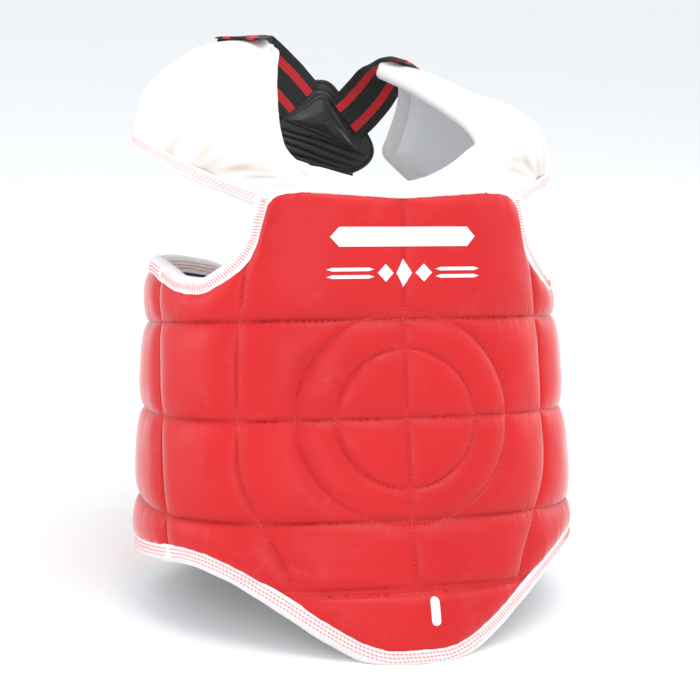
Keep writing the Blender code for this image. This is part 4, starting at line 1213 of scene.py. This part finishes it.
def lower_strap(name, side, materials):
    """Elastic from the pad's bottom seam round to a wing, with its hook tab over the loop patch."""
    lift = PATCH_LIFT + 0.0012 + 0.0004  # the loop patch's face, and a hair over it
    sewn = (0.0215, pad_y(0.372) + 0.001, 0.372)  # tucked into the pad's bottom seam
    centres = [np.array(point) * (side, 1, 1) for point in (sewn, *LOWER_STRAP_PATH)]
    normals = [np.array([0, 1.0, 0.1])] * len(centres)
    on_wing = [(angle, LOWER_STRAP_END[1], lift) for angle in (LOWER_STRAP_END[0], HOOK_SEAM_ANGLE)]
    for angle, z, out in (LOWER_STRAP_TURN, *on_wing):
        centres.append(trunk_point(side * angle, z, out))
        normals.append(trunk_normal(side * angle, z))
    t = np.linspace(0, 1, 80)
    centres, normals = spline(centres, t), unit(spline(np.array(normals), t))
    along = unit(np.gradient(centres, axis=0))
    across = unit(np.cross(along, normals))
    piece = ribbon(f"{name}_waist_elastic", centres, across, normals, STRAP_WIDTH - 0.004, ELASTIC_THICK,
                   materials["elastic"])
    tuple(to_world(centres[0]))
    tuple(to_world(centres[26]))
    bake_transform(piece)
    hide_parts(f"{name}_lower_strap")
    curved_pad(f"{name}_hook_end", side, HOOK_ANGLES, HOOK_HEIGHTS, lift, HOOK_THICK, materials["hook"],
               materials["black_thread"], f"{name}_strap", f"{name}_hook_tab")


def curved_pad(name, side, angles, heights, lift, thick, material, thread, where, node):
    """A patch of hook or loop tape that follows the wing, with stitches round its rim."""
    angle, z = np.linspace(*angles, 60)[:, None], np.linspace(*heights, 60)[None, :]
    angle, z = np.broadcast_arrays(angle, z)
    to_edge = np.minimum(np.minimum(angle - angles[0], angles[1] - angle) * 0.0022,
                         np.minimum(z - heights[0], heights[1] - z))
    round_edge = np.sqrt(1 - (1 - np.clip(to_edge / 0.0015, 0, 1)) ** 2)
    outer = trunk_point(side * angle, z, lift + thick * (0.35 + 0.65 * round_edge))
    inner = trunk_point(side * angle, z, np.full(z.shape, lift))
    piece = shell(name, outer, inner, material, flip=side < 0)
    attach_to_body(piece, where)
    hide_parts(node)
    (a0, a1), (z0, z1) = angles, heights
    a0, a1, z0, z1 = a0 + 1.2, a1 - 1.2, z0 + 0.0028, z1 - 0.0028
    there, back = np.linspace(a0, a1, 60), np.linspace(a1, a0, 60)
    ring_a = np.concatenate([there, np.full(60, a1), back, np.full(60, a0)])
    climb, fall = np.linspace(z0, z1, 60), np.linspace(z1, z0, 60)
    ring_z = np.concatenate([np.full(60, z0), climb, np.full(60, z1), fall])
    path = trunk_point(side * ring_a, ring_z, np.full(len(ring_z), lift + thick + 0.0001))
    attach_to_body(tubes(f"{name}_stitches", stitch_rings(path, trunk_normal(side * ring_a, ring_z)), thread), where)


# ---- the back pad ------------------------------------------------------------------------------
def pad_y(z):
    return 0.0880 + (PAD_TOP - z) * 0.12


def pad_outline(inset, count=220):
    """Rounded triangle, apex up, as (x, z) points."""
    height, middle = PAD_TOP - PAD_BOTTOM, (PAD_TOP + PAD_BOTTOM) / 2
    turn = 2 * np.pi * np.arange(count) / count
    c, s = np.cos(turn), np.sin(turn)
    squash = (np.abs(c) ** 2.8 + np.abs(s) ** 2.8) ** (-1 / 2.8)
    level = s * squash
    width = mix(PAD_HALF_WIDTH, PAD_TOP_HALF_WIDTH, smooth_step(level, -0.75, 1.05))
    return np.stack([PAD_X + (width - inset) * c * squash, middle + level * (height / 2 - inset)], -1)


def pad_surface(x, z, depth):
    return np.stack([x, pad_y(z) + depth, z], -1)


def pad_puff(x, z, share):
    """Bulge of the pad's face: full in the middle, with slanting folds in its lower half, and painted shade in the
    folds and along the edge seam.
    """
    dome = 0.0038 + 0.0020 * np.sqrt(np.clip(1 - share**2, 0, 1))
    slant = z + (x - PAD_X) * 0.30
    fold = 0.0
    for height, bend in ((0.3955, 0.0), (0.3895, 1.6), (0.3835, 3.1), (0.3775, 0.8)):
        line = height + 0.0008 * np.sin(x * 70 + bend)
        fold = fold + np.exp(-((slant - line) / 0.0011) ** 2)
    fold = np.clip(fold, 0, 1) * smooth_step(1 - share, 0.02, 0.25)
    edge_seam = np.exp(-((share - 0.86) / 0.02) ** 2) * smooth_step(z, 0.418, 0.428)
    return dome - 0.0014 * fold - 0.0006 * edge_seam, np.clip(fold + 0.4 * edge_seam, 0, 1)


def rings_to_shell(name, outer, inner, material, painted_shade, flip=False):
    """A closed sheet between two stacks of shrinking rings, [ring, corner]."""
    sections, corners = outer.shape[:2]
    index = np.arange(sections * corners).reshape(sections, corners)
    around = np.roll(index, -1, axis=1)
    quads = np.stack([index[:-1], around[:-1], around[1:], index[1:]], -1).reshape(-1, 4)
    count = sections * corners
    rim = np.stack([index[0], index[0] + count, around[0] + count, around[0]], -1)
    caps = np.stack([index[-1], (index[-1] + count)[::-1]])
    faces = np.vstack([quads, quads[:, ::-1] + count, rim])
    if flip:
        faces, caps = faces[:, ::-1], caps[:, ::-1]
    points = to_world(np.vstack([outer.reshape(-1, 3), inner.reshape(-1, 3)]))
    both = np.concatenate([painted_shade.ravel(), np.zeros(count)])
    return make_mesh(name, points, [faces, caps], material, painted_shade=both)


def pad_face(name, node, front, materials):
    """One vinyl face of the pad, from rings that shrink to its middle."""
    ring = pad_outline(0.0034)
    middle = np.array([PAD_X, (PAD_TOP + PAD_BOTTOM) / 2 - 0.006])
    shares = np.concatenate([[1.0], np.linspace(0.985, 0.03, 60)])
    flat = middle + (ring - middle) * shares[:, None, None]
    x, z = flat[..., 0], flat[..., 1]
    puffed, fold = pad_puff(x, z, np.broadcast_to(shares[:, None], x.shape))
    face, back = pad_surface(x, z, front * puffed), pad_surface(x, z, front * (puffed - 0.0012))
    # fold carries the painted shade of the folds and the edge seam
    piece = rings_to_shell(name, face, back, materials["black"], fold, flip=front > 0)
    attach(piece, "harness", node)
    return piece


def back_pad(materials):
    pad_face("pad_front_face", "pad_inner_cover", -1, materials)
    pad_face("pad_rear_face", "pad_outer_cover", 1, materials)
    rings = []
    for inset, depth in ((0.0050, -0.0030), (0.0050, 0.0030)):
        ring = pad_outline(inset)
        rings.append(pad_surface(ring[:, 0], ring[:, 1], depth))
    foam = tubes("pad_foam_core", np.array(rings)[None], materials["foam"])
    attach(foam, "harness", "pad_foam")
    outer, inner = pad_outline(0.0), pad_outline(0.0052)
    turn = np.linspace(0, 2 * np.pi, 17)[:-1]
    middle, half = (outer + inner) / 2, (outer - inner) / 2
    around = []
    for angle in turn:
        bulge = np.sign(math.cos(angle)) * abs(math.cos(angle)) ** 0.8
        flat = middle + half * bulge
        around.append(pad_surface(flat[:, 0], flat[:, 1], 0.0047 * math.sin(angle)))
    rings = np.array(around).transpose(1, 0, 2)
    length = lengths_along(np.vstack([rings[:, 0], rings[:1, 0]]))[:-1]
    uv = np.stack(np.broadcast_arrays(length[:, None], (turn * 0.004)[None, :]), -1)
    edge = tubes("pad_edge_tape", rings[None], materials["black_tape"], uv=uv[None], closed=True)
    attach(edge, "harness", "pad_binding")
    reinforcement(materials)


PATCH_CORNERS = np.array(((-0.0245, 0.4125), (0.0415, 0.3875), (0.0080, 0.4345)))  # two feet, then the apex


def rounded_corners(corners, radius, count=12):
    """Outline of a polygon with round corners, as (x, z) points."""
    points = []
    for before, corner, after in zip(np.roll(corners, 1, 0), corners, np.roll(corners, -1, 0)):
        start, end = corner + unit(before - corner) * radius, corner + unit(after - corner) * radius
        t = np.linspace(0, 1, count)[:, None]
        points.append(start * (1 - t) ** 2 + corner * 2 * t * (1 - t) + end * t**2)
    line = np.vstack(points + [points[0][:1]])
    length = lengths_along(line)
    places = np.linspace(0, length[-1], 161)[:-1]
    return at_places(places, length, line)


def reinforcement(materials):
    """Stitched triangle on the pad's inner face, over the ends of the shoulder elastics."""
    rim = rounded_corners(PATCH_CORNERS, 0.0060)
    middle = rim.mean(0)
    shares = np.concatenate([[1.0, 0.985], np.linspace(0.96, 0.05, 26)])
    flat = middle + (rim - middle) * shares[:, None, None]
    x, z = flat[..., 0], flat[..., 1]
    to_edge = (1 - shares[:, None]) * np.linalg.norm(rim - middle, axis=-1)
    soft = np.sqrt(1 - (1 - np.clip(to_edge / 0.0018, 0, 1)) ** 2)
    seam = np.exp(-((to_edge - 0.0030) / 0.0010) ** 2)
    dome = 0.0022 * smooth_step(to_edge, 0.003, 0.014)
    lift = 0.0018 + 0.0014 * soft - 0.0005 * seam + dome
    base = 0.0056
    outer = pad_surface(x, z, -(base + lift))
    inner = pad_surface(x, z, -(base + 0.0012) * np.ones_like(x))
    # painted shade along the sunk seam round the patch
    piece = rings_to_shell("pad_corner_patch", outer, inner, materials["black"], 0.4 * seam)
    attach(piece, "harness", "pad_reinforcement")
    path = middle + (rim - middle) * (1 - 0.0030 / np.linalg.norm(rim - middle, axis=-1, keepdims=True))
    path = np.vstack([path, path[:1]])
    facing = np.tile(unit(np.array([0.0, -1.0, -0.12])), (len(path), 1))
    seam_line = pad_surface(path[:, 0], path[:, 1], -(base + 0.0018 + 0.0010))
    rings = stitch_rings(seam_line, facing, length=0.0024)
    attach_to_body(tubes("pad_patch_stitches", rings, materials["black_thread"]), "harness")


# ---- camera, floor and light ---------------------------------------------------------------------
CAMERA_AZIMUTH, CAMERA_DISTANCE, CAMERA_HEIGHT = math.radians(20.0), 1.5991, 0.2719
CAMERA_DIP, CAMERA_ROLL = math.radians(1.69), math.radians(0.8)
CAMERA_LENS, SENSOR_WIDTH = 104.5, 36.0


def make_camera():
    """The viewing place, set round the upright body and then leaned back with it."""
    data = bpy.data.cameras.new("camera")
    data.lens, data.sensor_width = CAMERA_LENS, SENSOR_WIDTH
    camera = bpy.data.objects.new("camera", data)
    bpy.context.scene.collection.objects.link(camera)
    s, c = math.sin(CAMERA_AZIMUTH), math.cos(CAMERA_AZIMUTH)
    place = np.array([-CAMERA_DISTANCE * s, -CAMERA_DISTANCE * c, CAMERA_HEIGHT])
    ahead = Vector((s * math.cos(CAMERA_DIP), c * math.cos(CAMERA_DIP), -math.sin(CAMERA_DIP)))
    right = Vector((c, -s, 0.0))
    up = right.cross(ahead)
    turned = Matrix((right, up, -ahead)).transposed()
    roll = Matrix.Rotation(-CAMERA_ROLL, 3, "Z")
    lean = Matrix.Rotation(-STANCE_LEAN, 3, "X")
    camera.matrix_world = Matrix.Translation(to_world(place)) @ (lean @ turned @ roll).to_4x4()
    bpy.context.scene.camera = camera


def area_light(name, place, target, size, power, color=(1.0, 1.0, 1.0)):
    data = bpy.data.lights.new(name, "AREA")
    data.shape, data.size, data.energy, data.color = "DISK", size, power, color
    lamp = bpy.data.objects.new(name, data)
    lamp.location = place
    lamp.rotation_mode = "QUATERNION"
    lamp.rotation_quaternion = (Vector(target) - Vector(place)).to_track_quat("-Z", "Y")
    bpy.context.scene.collection.objects.link(lamp)


def make_stage():
    """A plain pale floor under soft, bright studio light."""
    half, parts = 14.0, 28
    steps = np.linspace(-half, half, parts + 1)
    x, y = np.meshgrid(steps, steps, indexing="ij")
    points = np.stack([x, y, np.full(x.shape, -0.0002)], -1).reshape(-1, 3)
    paint = Paint("pale_floor", 0.55, Specular_IOR_Level=0.25)
    speck = paint.between(paint.noise(3.0, 3.0), 0.3, 0.7)
    paint.color(paint.blend(speck, (0.86, 0.875, 0.885), (0.875, 0.885, 0.89)))
    floor = make_mesh("floor", points, [grid_faces(parts + 1, parts + 1)], paint.material)
    world = bpy.data.worlds.new("studio")
    world.use_nodes = True
    sky = world.node_tree.nodes["Background"]
    sky.inputs["Color"].default_value = (0.96, 0.98, 1.0, 1.0)
    sky.inputs["Strength"].default_value = 1.02
    bpy.context.scene.world = world
    area_light("key", (1.2, -1.3, 2.3), (0.0, 0.0, 0.22), 1.2, 6)
    area_light("fill", (-0.5, -1.7, 0.85), (0.05, 0.0, 0.3), 0.9, 4.5)
    area_light("top", (0.2, -0.8, 2.6), (0.0, 0.05, 0.3), 1.3, 17)
    area_light("right_sheen", (2.3, 0.3, 1.0), (0.1, 0.0, 0.2), 1.3, 12)
    area_light("left_sheen", (-2.2, 0.2, 0.9), (-0.1, 0.0, 0.2), 1.3, 12, (0.97, 0.98, 1.0))
    bpy.context.scene.view_settings.view_transform = "Standard"


# ---- everything --------------------------------------------------------------------------------
make_camera()
looks = make_materials()
quilted_panel("front", front_grid, "trunk", looks)
for side_name, sign in SIDES:
    quilted_panel(f"{side_name}_wing", lambda pitch: wing_grid(sign, pitch), f"{side_name}_wing", looks)
    wing_binding(side_name, sign, looks)
    quilting_thread(f"{side_name}_wing_stitches", line_paths(sign, True), looks["red_thread"],
                    f"{side_name}_wing")
    curved_pad(f"{side_name}_loop_tape", sign, PATCH_ANGLES, PATCH_HEIGHTS, PATCH_LIFT - LOOP_SUNK,
               LOOP_THICK, looks["loop"], looks["black_thread"], f"{side_name}_wing",
               f"{side_name}_loop_patch")
    make_flap(side_name, sign, looks)
    upper_strap(side_name, sign, looks)
    lower_strap(side_name, sign, looks)
trunk_bindings(looks)
quilting_thread("front_stitches", line_paths(1, False), looks["red_thread"], "trunk")
prints(looks)
make_neck(looks)
back_pad(looks)
make_stage()
